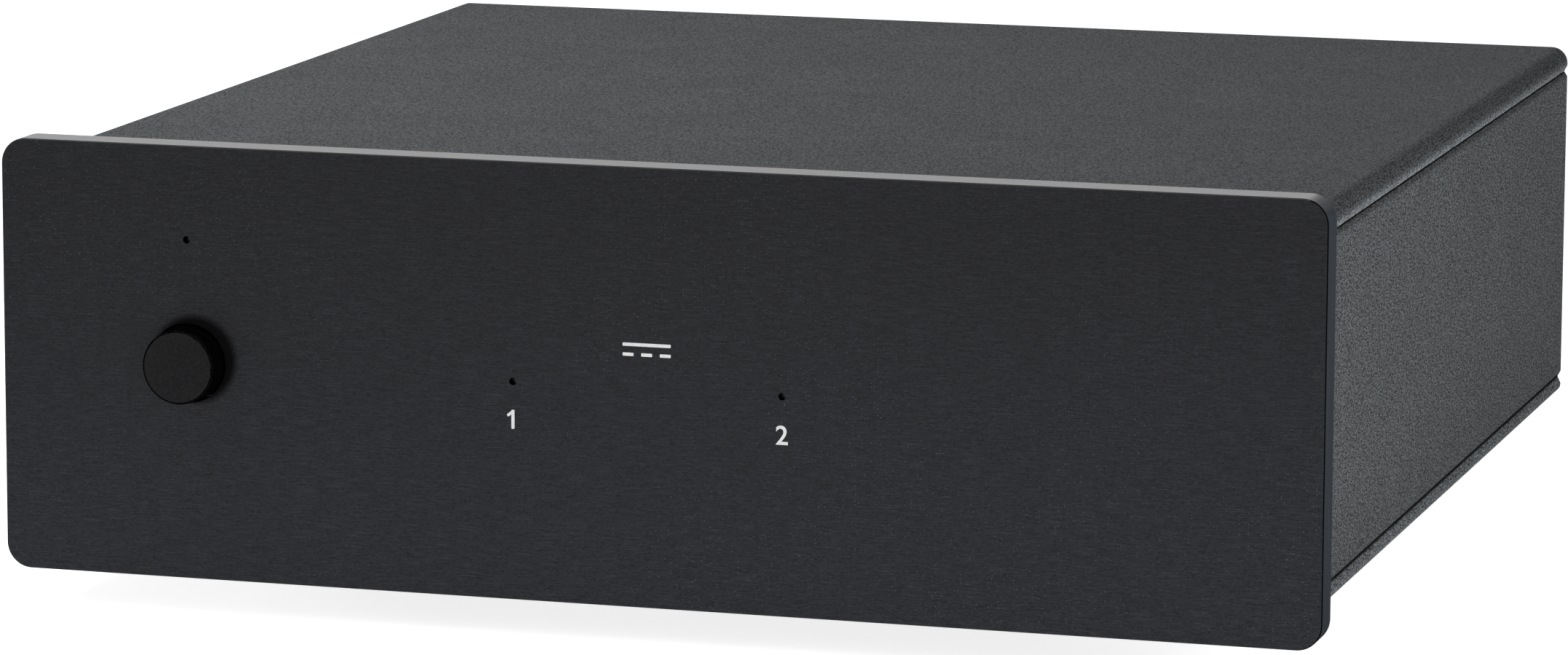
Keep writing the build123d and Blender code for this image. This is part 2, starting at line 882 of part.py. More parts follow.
with BuildPart() as ribbon_cable:
    ribbon_points = [
        (ribbon_x, ribbon_start, front_header_z),
        (ribbon_x, main_header_y, front_header_z),
        (ribbon_x, main_header_y, ribbon_end),
    ]
    with BuildLine():
        FilletPolyline(*ribbon_points, radius=min(ribbon_bend, *corner_radii(ribbon_points)))
    with BuildSketch(facing_front(ribbon_start)):
        with Locations((ribbon_x, front_header_z)):
            Rectangle(ribbon_width, ribbon_thickness)
    sweep()
save("ribbon_cable", ribbon_cable)

# ------------------------------------------------------------------ mains inlet and fuse drawer

inlet_seat = facing_rear(inlet_x, rear_face, inlet_z)
inlet_face = inlet_seat.offset(inlet_flange_thickness)
blade_places = [
    (-blade_spread, inlet_cavity_rise - blade_drop),
    (0, inlet_cavity_rise + blade_drop),
    (blade_spread, inlet_cavity_rise - blade_drop),
]
drawer_middle = -drawer_drop
drawer_length = drawer_travel + drawer_grip
slot_depth = drawer_length + drawer_gap
contact_z = drawer_middle + drawer_slot[1] / 2 + contact_thickness / 2
contact_places = [(-contact_spread, contact_z), (contact_spread, contact_z)]

with BuildPart() as mains_inlet:
    with BuildSketch(inlet_seat):
        RectangleRounded(*inlet_flange, inlet_flange_corner)
    extrude(amount=inlet_flange_thickness)
    fillet(mains_inlet.faces().sort_by(Axis.Y)[-1].edges(), radius=drawer_face_round)
    with BuildSketch(inlet_face):
        RectangleRounded(*inlet_body, inlet_body_corner)
    extrude(amount=-inlet_body_depth)
    with BuildSketch(inlet_face) as cavity_outline:
        with Locations((0, inlet_cavity_rise)):
            Rectangle(*inlet_cavity)
        corners = cavity_outline.vertices().group_by(Axis.Y)
        chamfer(corners[-1], length=inlet_cavity_bevel)
        fillet(corners[0], radius=inlet_cavity_round)
    extrude(amount=-inlet_cavity_depth, mode=Mode.SUBTRACT)
    with BuildSketch(inlet_face):
        with Locations(*blade_places):
            Rectangle(*blade_size)
    extrude(amount=-inlet_body_depth, mode=Mode.SUBTRACT)
    # drawer slot with a shallow recess for the drawer's face
    with BuildSketch(inlet_face):
        with Locations((0, drawer_middle)):
            Rectangle(*drawer_slot)
    extrude(amount=-slot_depth, mode=Mode.SUBTRACT)
    with BuildSketch(inlet_face):
        with Locations((0, drawer_middle)):
            Rectangle(drawer_face[0] + 2 * drawer_gap, drawer_face[1] + 2 * drawer_gap)
    extrude(amount=-(drawer_face_thickness + drawer_gap), mode=Mode.SUBTRACT)
    with BuildSketch(inlet_face.offset(-inlet_body_depth)):
        with Locations(*contact_places):
            Rectangle(contact_width, contact_thickness)
    extrude(amount=contact_reach, mode=Mode.SUBTRACT)
    with BuildSketch(inlet_face):
        with Locations((-inlet_screw_spread, 0), (inlet_screw_spread, 0)):
            Circle(screw_hole)
    extrude(amount=-inlet_flange_thickness, mode=Mode.SUBTRACT)
save("mains_inlet", mains_inlet)

with BuildPart() as inlet_pins:
    with BuildSketch(inlet_face.offset(-blade_tip_gap)):
        with Locations(*blade_places):
            Rectangle(*blade_size)
    extrude(amount=-(inlet_body_depth - blade_tip_gap))
    chamfer(inlet_pins.faces().sort_by(Axis.Y)[-3:].edges(), length=blade_tip_break)
    with BuildSketch(inlet_face.offset(-inlet_body_depth)):
        with Locations(*blade_places):
            Rectangle(*tag_size)
    extrude(amount=-tag_length)
save("inlet_pins", inlet_pins)

with BuildPart() as inlet_screws:
    add_screws(inlet_face, [(-inlet_screw_spread, 0), (inlet_screw_spread, 0)],
               inlet_flange_thickness + rear_thickness + nut_height + screw_end_proud)
save("inlet_screws", inlet_screws)

drawer_body = (drawer_slot[0] - 2 * drawer_gap, drawer_slot[1] - 2 * drawer_gap)
drawer_bottom = drawer_middle - drawer_body[1] / 2
fuse_pocket = (fuse_length + 2 * fuse_end_gap, 2 * (fuse_radius + fuse_end_gap))
fuse_setback = drawer_length - fuse_wall - fuse_pocket[1] / 2
fuse_rise = drawer_bottom + drawer_floor + fuse_radius

with BuildPart() as fuse_drawer:
    with BuildSketch(inlet_face):
        with Locations((0, drawer_middle)):
            Rectangle(*drawer_body)
    extrude(amount=-drawer_length)
    with BuildSketch(inlet_face):
        with Locations((0, drawer_middle)):
            Rectangle(*drawer_face)
    extrude(amount=-drawer_face_thickness)
    # pull lip along the lower edge of the face
    with BuildSketch(inlet_face):
        with Locations((0, drawer_middle - drawer_face[1] / 2 + drawer_pull[1])):
            Rectangle(*drawer_pull)
    extrude(amount=drawer_pull_proud)
    # pocket for the fuse, open to the top, and a second one for a spare
    top_of_drawer = Plane(inlet_face.from_local_coords((0, drawer_bottom + drawer_body[1], 0)),
                          x_dir=(-1, 0, 0), z_dir=(0, 0, 1))
    spare_setback = fuse_setback - fuse_pocket[1] - fuse_wall
    with BuildSketch(top_of_drawer):
        with Locations((0, fuse_setback), (0, spare_setback)):
            Rectangle(*fuse_pocket)
    extrude(amount=-(drawer_body[1] - drawer_floor), mode=Mode.SUBTRACT)
save("fuse_drawer", fuse_drawer)

# two fuses lie across the drawer, the inner one in use and the outer one spare
fuse_starts = [
    Plane(
        inlet_face.from_local_coords((-fuse_length / 2, fuse_rise, -setback)),
        x_dir=(0, 1, 0),
        z_dir=(-1, 0, 0),
    )
    for setback in (fuse_setback, spare_setback)
]
glass_starts = [start.offset(fuse_wall) for start in fuse_starts]
far_caps = [start.offset(fuse_length - fuse_cap_length) for start in fuse_starts]
glass_length = fuse_length - 2 * fuse_wall

with BuildPart() as fuse_tubes:
    with BuildSketch(*glass_starts):
        Circle(fuse_glass_radius)
    extrude(amount=glass_length)
save("fuse_tubes", fuse_tubes)

with BuildPart() as fuse_caps:
    with BuildSketch(*fuse_starts, *far_caps):
        Circle(fuse_radius)
    extrude(amount=fuse_cap_length)
    with BuildSketch(*glass_starts):
        Circle(fuse_glass_radius)
    extrude(amount=glass_length, mode=Mode.SUBTRACT)
save("fuse_caps", fuse_caps)

with BuildPart() as fuse_contacts:
    with BuildSketch(inlet_face.offset(-inlet_body_depth - tag_length)):
        with Locations(*contact_places):
            Rectangle(contact_width, contact_thickness)
    extrude(amount=contact_reach + tag_length)
save("fuse_contacts", fuse_contacts)

# ------------------------------------------------------------------ earth stud

with BuildPart() as earth_stud:
    with BuildSketch(Plane.XY.offset(floor - spigot_depth)):
        with Locations(earth_place):
            Circle(stud_radius)
    extrude(amount=spigot_depth + stud_length)
save("earth_stud", earth_stud)

barrel_x = earth_place[0] - ring_radius
barrel_z = floor + ring_barrel_radius

with BuildPart() as earth_terminal:
    with BuildSketch(Plane.XY.offset(floor)):
        with Locations(earth_place):
            Circle(ring_radius)
        with Locations((barrel_x, earth_place[1])):
            Rectangle(2 * ring_thickness, 2 * ring_barrel_radius)
        with Locations(earth_place):
            Circle(stud_radius + thread_clearance, mode=Mode.SUBTRACT)
    extrude(amount=ring_thickness)
    with BuildSketch(Plane(origin=(barrel_x, earth_place[1], barrel_z), x_dir=(0, 1, 0), z_dir=(-1, 0, 0))):
        Circle(ring_barrel_radius)
    extrude(amount=ring_barrel_length)
save("earth_terminal", earth_terminal)

with BuildPart() as earth_nut:
    add_nuts(Plane.XY.offset(floor + ring_thickness), [earth_place],
             stud_nut_flats, stud_nut_height, stud_radius + thread_clearance)
save("earth_nut", earth_nut)

# ------------------------------------------------------------------ transformer

winding_bottom = floor + pad_thickness
winding_top = winding_bottom + winding_height
winding_middle = winding_bottom + winding_height / 2
pad_top = winding_top + pad_thickness
bolt_hole = bolt_radius + bolt_clearance


def add_ring(bottom, inner, outer, height):
    with BuildSketch(Plane.XY.offset(bottom)) as outline:
        with Locations(transformer_place):
            Circle(outer)
            Circle(inner, mode=Mode.SUBTRACT)
    return extrude(outline.sketch, amount=height)


with BuildPart() as transformer_core:
    add_ring(winding_middle - core_height / 2, *core_radii, core_height)
save("transformer_core", transformer_core)

with BuildPart() as transformer_winding:
    wound = add_ring(winding_bottom, *winding_radii, winding_height)
    fillet(wound.edges(), radius=winding_round)
    with BuildSketch(Plane.XY.offset(winding_middle - core_height / 2 - tape_gap)):
        with Locations(transformer_place):
            Circle(core_radii[1] + tape_gap)
            Circle(core_radii[0] - tape_gap, mode=Mode.SUBTRACT)
    extrude(amount=core_height + 2 * tape_gap, mode=Mode.SUBTRACT)
save("transformer_winding", transformer_winding)

with BuildPart() as transformer_pads:
    add_ring(floor, bolt_hole, pad_radius, pad_thickness)
    add_ring(winding_top, bolt_hole, pad_radius, pad_thickness)
save("transformer_pads", transformer_pads)

# a dished washer whose rim presses on the pad and whose middle takes the nut
dish_profile_plane = Plane(origin=(*transformer_place, pad_top), x_dir=(1, 0, 0), z_dir=(0, -1, 0))

with BuildPart() as transformer_dish:
    with BuildSketch(dish_profile_plane):
        Polygon(
            (bolt_hole, dish_depth),
            (dish_seat_radius, dish_depth),
            (dish_seat_radius + 2 * dish_depth, 0),
            (dish_radius, 0),
            (dish_radius, dish_thickness),
            (dish_seat_radius + 2 * dish_depth, dish_thickness),
            (dish_seat_radius, dish_depth + dish_thickness),
            (bolt_hole, dish_depth + dish_thickness),
            align=None,
        )
    revolve(axis=Axis((*transformer_place, 0), (0, 0, 1)))
save("transformer_dish", transformer_dish)

dish_top = pad_top + dish_depth + dish_thickness

with BuildPart() as transformer_bolt:
    with BuildSketch(Plane.XY.offset(case_bottom - bolt_head_height)):
        with Locations(transformer_place):
            RegularPolygon(bolt_head_flats / 2, 6, major_radius=False)
    extrude(amount=bolt_head_height)
    with BuildSketch(Plane.XY.offset(case_bottom)):
        with Locations(transformer_place):
            Circle(bolt_radius)
    extrude(amount=dish_top + bolt_nut_height + bolt_end_proud - case_bottom)
save("transformer_bolt", transformer_bolt)

with BuildPart() as transformer_nut:
    add_nuts(Plane.XY.offset(dish_top), [transformer_place],
             bolt_head_flats, bolt_nut_height, bolt_radius + thread_clearance)
save("transformer_nut", transformer_nut)

# ------------------------------------------------------------------ main board and its parts

on_top = Plane.XY.offset(board_top)

with BuildPart() as main_board:
    with BuildSketch(Plane.XY.offset(board_under)):
        with Locations((board_middle_x, board_middle_y)):
            RectangleRounded(main_board_width, board_length, front_board_corner)
        with Locations(*main_screws_at):
            Circle(screw_hole, mode=Mode.SUBTRACT)
    extrude(amount=board_thickness)
save("main_board", main_board)

with BuildPart() as board_spacers:
    with BuildSketch(Plane.XY.offset(floor)):
        with Locations(*main_screws_at):
            Circle(spacer_radius)
    extrude(amount=main_spacer_length)
    with BuildSketch(Plane.XY.offset(floor)):
        with Locations(*main_screws_at):
            Circle(spacer_spigot_radius)
    extrude(amount=-spigot_depth)
    with BuildSketch(Plane.XY.offset(board_under)):
        with Locations(*main_screws_at):
            Circle(channel_bore)
    extrude(amount=-short_screw_length, mode=Mode.SUBTRACT)
save("board_spacers", board_spacers)

def add_blocks(size, places):
    # boxes that stand on the main board
    with BuildSketch(on_top) as outline:
        with Locations(*[on_board(place) for place in places]):
            Rectangle(size[0], size[1])
    return extrude(outline.sketch, amount=size[2])


capacitor_places = [
    on_board((capacitor_right, capacitor_back + capacitor_pitch * i)) for i in range(capacitor_count)
]
with BuildPart() as reservoir_capacitors:
    with BuildSketch(on_top):
        with Locations(*capacitor_places):
            Circle(capacitor_radius)
    cans = extrude(amount=capacitor_height)
    fillet(cans.edges(), radius=capacitor_rim)
save("reservoir_capacitors", reservoir_capacitors)

# heatsinks stand along the board's right edge, each with a regulator and two small capacitors
sink_x = main_board_right - sink_edge_gap - sink_fin_reach - sink_base
sink_ys = [board_front + back for back in sink_backs]
small_capacitor_x = sink_x - regulator_body[0] - small_capacitor_gap - small_capacitor_radius
small_capacitor_places = [
    (small_capacitor_x, y + i * small_capacitor_offset) for y in sink_ys for i in (-1, 1)
]

with BuildPart() as output_capacitors:
    with BuildSketch(on_top):
        with Locations(*small_capacitor_places):
            Circle(small_capacitor_radius)
    cans = extrude(amount=small_capacitor_height)
    fillet(cans.edges(), radius=capacitor_rim)
save("output_capacitors", output_capacitors)

with BuildPart() as bridge_rectifiers:
    bridges = add_blocks(bridge_size, [(bridge_right, back) for back in bridge_backs])
    corners = bridges.edges().filter_by(Axis.X).group_by(Axis.Z)[-1].sort_by(Axis.Y)
    chamfer([corners[0], corners[2]], length=bridge_notch)
save("bridge_rectifiers", bridge_rectifiers)

with BuildPart() as film_capacitors:
    films = add_blocks(film_size, film_places)
    fillet(films.edges().filter_by(Axis.Z), radius=capacitor_rim)
save("film_capacitors", film_capacitors)

with BuildPart() as relays:
    add_blocks(power_relay_size, [(power_relay_right, board_length - power_relay_rear_inset)])
    output_relay_back = board_length - output_relay_rear_inset
    add_blocks(
        output_relay_size,
        [(main_board_width - inset, output_relay_back) for inset in output_relay_insets],
    )
    fillet(relays.edges().group_by(Axis.Z)[-1], radius=capacitor_rim)
save("relays", relays)

# each heatsink is a base plate and a row of fins, with a tapped hole for the regulator's screw
regulator_screw_z = board_top + regulator_lift + regulator_screw_rise
facing_left = Plane(origin=(sink_x, 0, 0), x_dir=(0, -1, 0), z_dir=(-1, 0, 0))
regulator_screws_at = [(-y, regulator_screw_z) for y in sink_ys]
fin_pitch = (sink_length - sink_fin_thickness) / (sink_fin_count - 1)

with BuildPart() as heatsinks:
    with BuildSketch(on_top):
        for y in sink_ys:
            with Locations((sink_x + sink_base / 2, y)):
                Rectangle(sink_base, sink_length)
            with Locations((sink_x + sink_base + sink_fin_reach / 2, y)):
                with GridLocations(0, fin_pitch, 1, sink_fin_count):
                    Rectangle(sink_fin_reach, sink_fin_thickness)
    extrude(amount=sink_height)
    with BuildSketch(facing_left):
        with Locations(*regulator_screws_at):
            Circle(channel_bore)
    extrude(amount=-sink_base, mode=Mode.SUBTRACT)
save("heatsinks", heatsinks)

regulator_bottom = board_top + regulator_lift
leg_x = sink_x - regulator_tab[0] - regulator_body[0] / 2

with BuildPart() as regulators:
    with BuildSketch(Plane.XY.offset(regulator_bottom)):
        with Locations(*[(sink_x - regulator_tab[0] / 2, y) for y in sink_ys]):
            Rectangle(regulator_tab[0], regulator_width)
    extrude(amount=regulator_tab[1])
    with BuildSketch(Plane.XY.offset(regulator_bottom)):
        with Locations(*[(sink_x - regulator_body[0] / 2, y) for y in sink_ys]):
            Rectangle(regulator_body[0], regulator_width)
    extrude(amount=regulator_body[1])
    with BuildSketch(on_top):
        for y in sink_ys:
            with Locations((leg_x, y)):
                with GridLocations(0, regulator_leg_pitch, 1, 3):
                    Rectangle(*regulator_leg)
    extrude(amount=regulator_lift)
    with BuildSketch(facing_left):
        with Locations(*regulator_screws_at):
            Circle(screw_hole)
    extrude(amount=regulator_tab[0], mode=Mode.SUBTRACT)
save("regulators", regulators)

# the panel, both boards and the regulators are held by the same short screw
with BuildPart() as short_screws:
    add_screws(facing_rear(0, frame_rear, 0), panel_screws_at, short_screw_length)
    seen_from_rear = [(-x, z) for x, z in front_screws_at]
    add_screws(facing_rear(0, front_board_rear, 0), seen_from_rear, short_screw_length)
    add_screws(on_top, main_screws_at, short_screw_length)
    add_screws(facing_left.offset(regulator_tab[0]), regulator_screws_at, short_screw_length)
save("short_screws", short_screws)

# mains terminal block: four ways, wires enter from the left, screws on top
block_place = (block_right, board_length - block_rear_inset)
block_x, block_y = on_board(block_place)
block_left = block_x - block_size[0] / 2
block_ways = [block_y + (i - 1.5) * block_pitch for i in range(4)]
block_entry_z = board_top + block_hole_rise

with BuildPart() as mains_terminal:
    add_blocks(block_size, [block_place])
    with BuildSketch(Plane(origin=(block_left, 0, 0), x_dir=(0, -1, 0), z_dir=(-1, 0, 0))):
        with Locations(*[(-y, block_entry_z) for y in block_ways]):
            Circle(block_hole_radius)
    extrude(amount=-block_hole_depth, mode=Mode.SUBTRACT)
    with BuildSketch(on_top.offset(block_size[2])):
        with Locations(*[(block_x, y) for y in block_ways]):
            Circle(block_screw_radius)
    extrude(amount=-block_screw_depth, mode=Mode.SUBTRACT)
save("mains_terminal", mains_terminal)

secondary_x, secondary_y = on_board(secondary_place)
secondary_ways = [secondary_y + (i - 1.5) * secondary_pitch for i in range(4)]
secondary_left = secondary_x - secondary_size[0] / 2

output_header_back = board_length - output_header_rear_inset
header_places = [(x - main_board_left, output_header_back) for x in socket_xs]

with BuildPart() as lead_headers:
    add_blocks(secondary_size, [secondary_place])
    add_blocks(output_header_size, header_places)
    chamfer(lead_headers.edges().filter_by(Axis.Z), length=screw_end_break)
save("lead_headers", lead_headers)

# one glass fuse across the board, held by two spring clips
board_fuse_x, board_fuse_y = on_board(board_fuse_place)
board_fuse_z = board_top + clip_rise
clip_xs = [board_fuse_x + i * (fuse_length - fuse_cap_length) / 2 for i in (-1, 1)]
board_fuse_start = Plane(origin=(board_fuse_x - fuse_length / 2, board_fuse_y, board_fuse_z),
                         x_dir=(0, 1, 0), z_dir=(1, 0, 0))

with BuildPart() as board_fuse:
    with BuildSketch(board_fuse_start):
        Circle(fuse_radius)
    extrude(amount=fuse_length)
    with BuildSketch(board_fuse_start.offset(fuse_cap_length)):
        Circle(fuse_radius)
        Circle(fuse_glass_radius, mode=Mode.SUBTRACT)
    extrude(amount=fuse_length - 2 * fuse_cap_length, mode=Mode.SUBTRACT)
save("board_fuse", board_fuse)

with BuildPart() as fuse_clips:
    for x in clip_xs:
        with BuildSketch(Plane(origin=(x - clip_width / 2, board_fuse_y, board_fuse_z),
                               x_dir=(0, 1, 0), z_dir=(1, 0, 0))):
            Circle(fuse_radius + clip_wall)
            with Locations((0, -clip_rise / 2)):
                Rectangle(2 * clip_wall, clip_rise)
            Circle(fuse_radius, mode=Mode.SUBTRACT)
            with Locations((0, fuse_radius)):
                Rectangle(2 * fuse_radius, fuse_radius, mode=Mode.SUBTRACT)
        extrude(amount=clip_width)
save("fuse_clips", fuse_clips)

# resistors lie across the board, with a bent lead at each end
resistor_backs = [resistor_back + resistor_pitch * i for i in range(resistor_count)]
resistor_places = [on_board((resistor_right, back)) for back in resistor_backs]
resistor_z = board_top + resistor_radius
resistor_reach = resistor_length / 2 + resistor_lead_length

with BuildPart() as resistors:
    for x, y in resistor_places:
        bent_lead = [
            (x - resistor_reach, y, board_top),
            (x - resistor_reach, y, resistor_z),
            (x + resistor_reach, y, resistor_z),
            (x + resistor_reach, y, board_top),
        ]
        add_lead(bent_lead, resistor_lead_radius)
        body_start = Plane(origin=(x - resistor_length / 2, y, resistor_z), x_dir=(0, 1, 0), z_dir=(1, 0, 0))
        with BuildSketch(body_start):
            Circle(resistor_radius)
        extrude(amount=resistor_length)
save("resistors", resistors)

# ------------------------------------------------------------------ DC output sockets

socket_face = rear_face + socket_rim_thickness
socket_floor = socket_face - socket_bore_depth
barrel_end = rear_face - socket_barrel_length
pin_shoulder = socket_floor + socket_pin_shoulder_gap
socket_plane = facing_rear(0, rear_face, 0)
sockets_local = [(-x, z) for x, z in socket_places]

with BuildPart() as dc_sockets:
    with BuildSketch(socket_plane):
        with Locations(*sockets_local):
            Circle(socket_rim_radius)
    rims = extrude(amount=socket_rim_thickness)
    fillet(rims.edges().group_by(Axis.Y)[-1], radius=socket_rim_round)
    with BuildSketch(socket_plane):
        with Locations(*sockets_local):
            Circle(socket_barrel_radius)
    extrude(amount=-socket_barrel_length)
    with BuildSketch(socket_plane.offset(socket_rim_thickness)):
        with Locations(*sockets_local):
            Circle(socket_bore_radius)
    extrude(amount=-socket_bore_depth, mode=Mode.SUBTRACT)
    with BuildSketch(socket_plane):
        with Locations(*sockets_local):
            Circle(socket_pin_shank_radius)
    extrude(amount=-socket_barrel_length, mode=Mode.SUBTRACT)
save("dc_sockets", dc_sockets)

socket_tags_at = [(x + i * socket_tag_spread, z) for x, z in socket_places for i in (-1, 1)]

with BuildPart() as dc_socket_pins:
    with BuildSketch(facing_front(pin_shoulder)):
        with Locations(*socket_places):
            Circle(socket_pin_radius)
    pins = extrude(amount=-(socket_face - socket_pin_tip_gap - pin_shoulder))
    fillet(pins.edges().group_by(Axis.Y)[-1], radius=socket_pin_tip_round)
    with BuildSketch(facing_front(barrel_end)):
        with Locations(*socket_places):
            Circle(socket_pin_shank_radius)
    extrude(amount=-(pin_shoulder - barrel_end))
    with BuildSketch(facing_front(barrel_end)):
        with Locations(*socket_tags_at):
            Rectangle(*socket_tag_size)
    extrude(amount=socket_tag_length)
save("dc_socket_pins", dc_socket_pins)

with BuildPart() as dc_socket_nuts:
    add_nuts(facing_front(rear_inside), socket_places,
             socket_nut_flats, socket_nut_height, socket_barrel_radius + thread_clearance)
save("dc_socket_nuts", dc_socket_nuts)

# ------------------------------------------------------------------ leads

tag_end = rear_face + inlet_flange_thickness - inlet_body_depth - tag_length
neutral_x = inlet_x - blade_places[2][0]
neutral_z = inlet_z + blade_places[2][1]
earth_z = inlet_z + blade_places[1][1]
live_x = inlet_x - contact_places[0][0]
live_z = inlet_z + contact_places[0][1]


def to_block(way):
    # the last two points of a lead that enters one way of the terminal block
    y = block_ways[way]
    return [(block_left - block_stub, y, block_entry_z), (block_left, y, block_entry_z)]


with BuildPart() as mains_leads:
    for x, z, way in ((live_x, live_z, 3), (neutral_x, neutral_z, 2)):
        add_lead([
            (x, tag_end, z),
            (x, tag_end - tag_stub, z),
            *to_block(way),
        ], mains_lead_radius)
save("mains_leads", mains_leads)

barrel_end_x = barrel_x - ring_barrel_length

with BuildPart() as earth_lead:
    add_lead([
        (inlet_x, tag_end, earth_z),
        (inlet_x, tag_end - earth_stub, earth_z),
        (barrel_end_x - barrel_stub, earth_place[1], barrel_z),
        (barrel_end_x, earth_place[1], barrel_z),
    ], mains_lead_radius)
save("earth_lead", earth_lead)


def out_of_winding(angle):
    # the first two points of a lead that leaves the side of the winding
    along = (cos(radians(angle)), sin(radians(angle)))
    return [
        (transformer_place[0] + r * along[0], transformer_place[1] + r * along[1], winding_middle)
        for r in (winding_radii[1], winding_radii[1] + coil_stub)
    ]


with BuildPart() as primary_leads:
    for way, angle in enumerate(primary_angles):
        add_lead([*out_of_winding(angle), *to_block(way)], coil_lead_radius)
save("primary_leads", primary_leads)

secondary_z = board_top + secondary_rise

with BuildPart() as secondary_leads:
    for angle, y in zip(secondary_angles, secondary_ways):
        add_lead([
            *out_of_winding(angle),
            (secondary_left - coil_stub, y, secondary_z),
            (secondary_left, y, secondary_z),
        ], coil_lead_radius)
save("secondary_leads", secondary_leads)

header_y = board_front + output_header_back
header_top = board_top + output_header_size[2]
socket_tag_end = barrel_end - socket_tag_length

with BuildPart() as output_leads:
    for x, z in socket_tags_at:
        add_lead([
            (x, header_y, header_top),
            (x, header_y, z),
            (x, socket_tag_end, z),
        ], output_lead_radius)
save("output_leads", output_leads)
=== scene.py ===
import bpy
import math
from mathutils import Matrix, Vector


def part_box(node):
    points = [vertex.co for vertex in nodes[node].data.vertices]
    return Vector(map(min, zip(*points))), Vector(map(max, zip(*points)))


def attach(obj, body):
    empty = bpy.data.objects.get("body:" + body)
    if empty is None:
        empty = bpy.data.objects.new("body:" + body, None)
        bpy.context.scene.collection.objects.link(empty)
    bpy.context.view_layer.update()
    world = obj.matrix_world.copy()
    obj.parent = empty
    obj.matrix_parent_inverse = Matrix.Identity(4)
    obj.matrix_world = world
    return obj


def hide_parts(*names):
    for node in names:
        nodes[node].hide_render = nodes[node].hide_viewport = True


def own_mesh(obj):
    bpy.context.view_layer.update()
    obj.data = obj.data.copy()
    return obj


# Linear power supply box: finishes, printed marks, lamps and camera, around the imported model.
# Metres, in the model's own frame: +X right, +Y to the rear, +Z up, standing on Z = 0.

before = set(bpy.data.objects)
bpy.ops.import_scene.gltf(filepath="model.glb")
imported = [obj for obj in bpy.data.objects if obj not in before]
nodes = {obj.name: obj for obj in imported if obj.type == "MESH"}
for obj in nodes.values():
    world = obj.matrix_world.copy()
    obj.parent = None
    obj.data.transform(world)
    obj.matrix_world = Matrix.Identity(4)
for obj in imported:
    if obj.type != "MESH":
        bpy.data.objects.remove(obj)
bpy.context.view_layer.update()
mm = 0.001
print("frame loaded:", len(nodes), "nodes")

view = {
    "place": (0.31646, -1.087415, 0.22463),
    "turn": 16.642,  # degrees to the left of straight ahead
    "dip": 9.663,  # degrees below the horizon
    "roll": -0.198,
    "lens": 162.7,
    "sensor": 36.0,
    "clip": (0.05, 20.0),
}


def makeCamera():
    turn, dip, roll = (math.radians(view[name]) for name in ("turn", "dip", "roll"))
    level = Vector((-math.sin(turn), math.cos(turn), 0))
    right = Vector((math.cos(turn), math.sin(turn), 0))
    up = Vector((0, 0, 1))
    forward = level * math.cos(dip) - up * math.sin(dip)
    above = up * math.cos(dip) + level * math.sin(dip)
    rolledRight = right * math.cos(roll) - above * math.sin(roll)
    rolledUp = above * math.cos(roll) + right * math.sin(roll)
    bpy.ops.object.camera_add(location=view["place"])
    camera = bpy.context.object
    turned = Matrix((rolledRight, rolledUp, -forward)).transposed()
    camera.matrix_world = Matrix.Translation(view["place"]) @ turned.to_4x4()
    camera.data.lens = view["lens"]
    camera.data.sensor_width = view["sensor"]
    camera.data.clip_start, camera.data.clip_end = view["clip"]
    bpy.context.scene.camera = camera


makeCamera()
print("camera in place")

studio = {
    "worldLight": 0.30,
    "floorColour": (0.80, 0.80, 0.80),
    "floorGlow": 0.82,
    "floorSize": 8.0,
    "lamps": {
        # name: (place, aim, size across and high, watts)
        "topLamp": ((-0.17, -0.04, 0.36), (-0.10, 0.0, 0.07), (0.26, 0.20), 1.0),
        "frontLamp": ((-0.26, -0.95, 0.02), (0.0, -0.1, 0.04), (0.12, 0.03), 1.02),
        "floorLamp": ((0.10, -0.24, 0.010), (0.08, -0.10, 0.015), (0.30, 0.015), 0.03),
        "sideLamp": ((0.42, -0.14, 0.12), (0.1, -0.08, 0.04), (0.20, 0.16), 1.05),
        "leftLamp": ((-0.80, 0.00, 0.12), (-0.1, 0.0, 0.04), (0.50, 0.20), 2.6),
        "rearLamp": ((-0.85, 0.75, 0.06), (0.0, 0.1, 0.04), (0.30, 0.10), 4.5),
    },
}


def selectNothing():
    if bpy.context.mode != "OBJECT":
        bpy.ops.object.mode_set(mode="OBJECT")
    bpy.ops.object.select_all(action="DESELECT")


def makeLamp(name, place, aim, size, watts):
    selectNothing()
    bpy.ops.object.light_add(type="AREA", location=place)
    lamp = bpy.context.object
    lamp.name = name
    lamp.data.shape = "RECTANGLE"
    lamp.data.size, lamp.data.size_y = size
    lamp.data.energy = watts
    way = Vector(aim) - Vector(place)
    lamp.rotation_euler = way.to_track_quat("-Z", "Y").to_euler()


def seenDirectly(tree):
    # 1 for a camera, glossy or transmission ray, else 0
    path = tree.nodes.new("ShaderNodeLightPath")
    total = path.outputs["Is Camera Ray"]
    for name in ("Is Glossy Ray", "Is Transmission Ray"):
        either = tree.nodes.new("ShaderNodeMath")
        either.operation = "MAXIMUM"
        tree.links.new(total, either.inputs[0])
        tree.links.new(path.outputs[name], either.inputs[1])
        total = either.outputs[0]
    return total


def makeWorld():
    # white where it is seen, mirrored or looked through; a plain soft light for everything else
    world = bpy.data.worlds.new("paleRoom")
    bpy.context.scene.world = world
    world.use_nodes = True
    tree = world.node_tree
    background = tree.nodes["Background"]
    background.inputs["Color"].default_value = (1, 1, 1, 1)
    strength = tree.nodes.new("ShaderNodeMapRange")
    strength.inputs["To Min"].default_value = studio["worldLight"]
    strength.inputs["To Max"].default_value = 1.0
    tree.links.new(seenDirectly(tree), strength.inputs["Value"])
    tree.links.new(strength.outputs["Result"], background.inputs["Strength"])


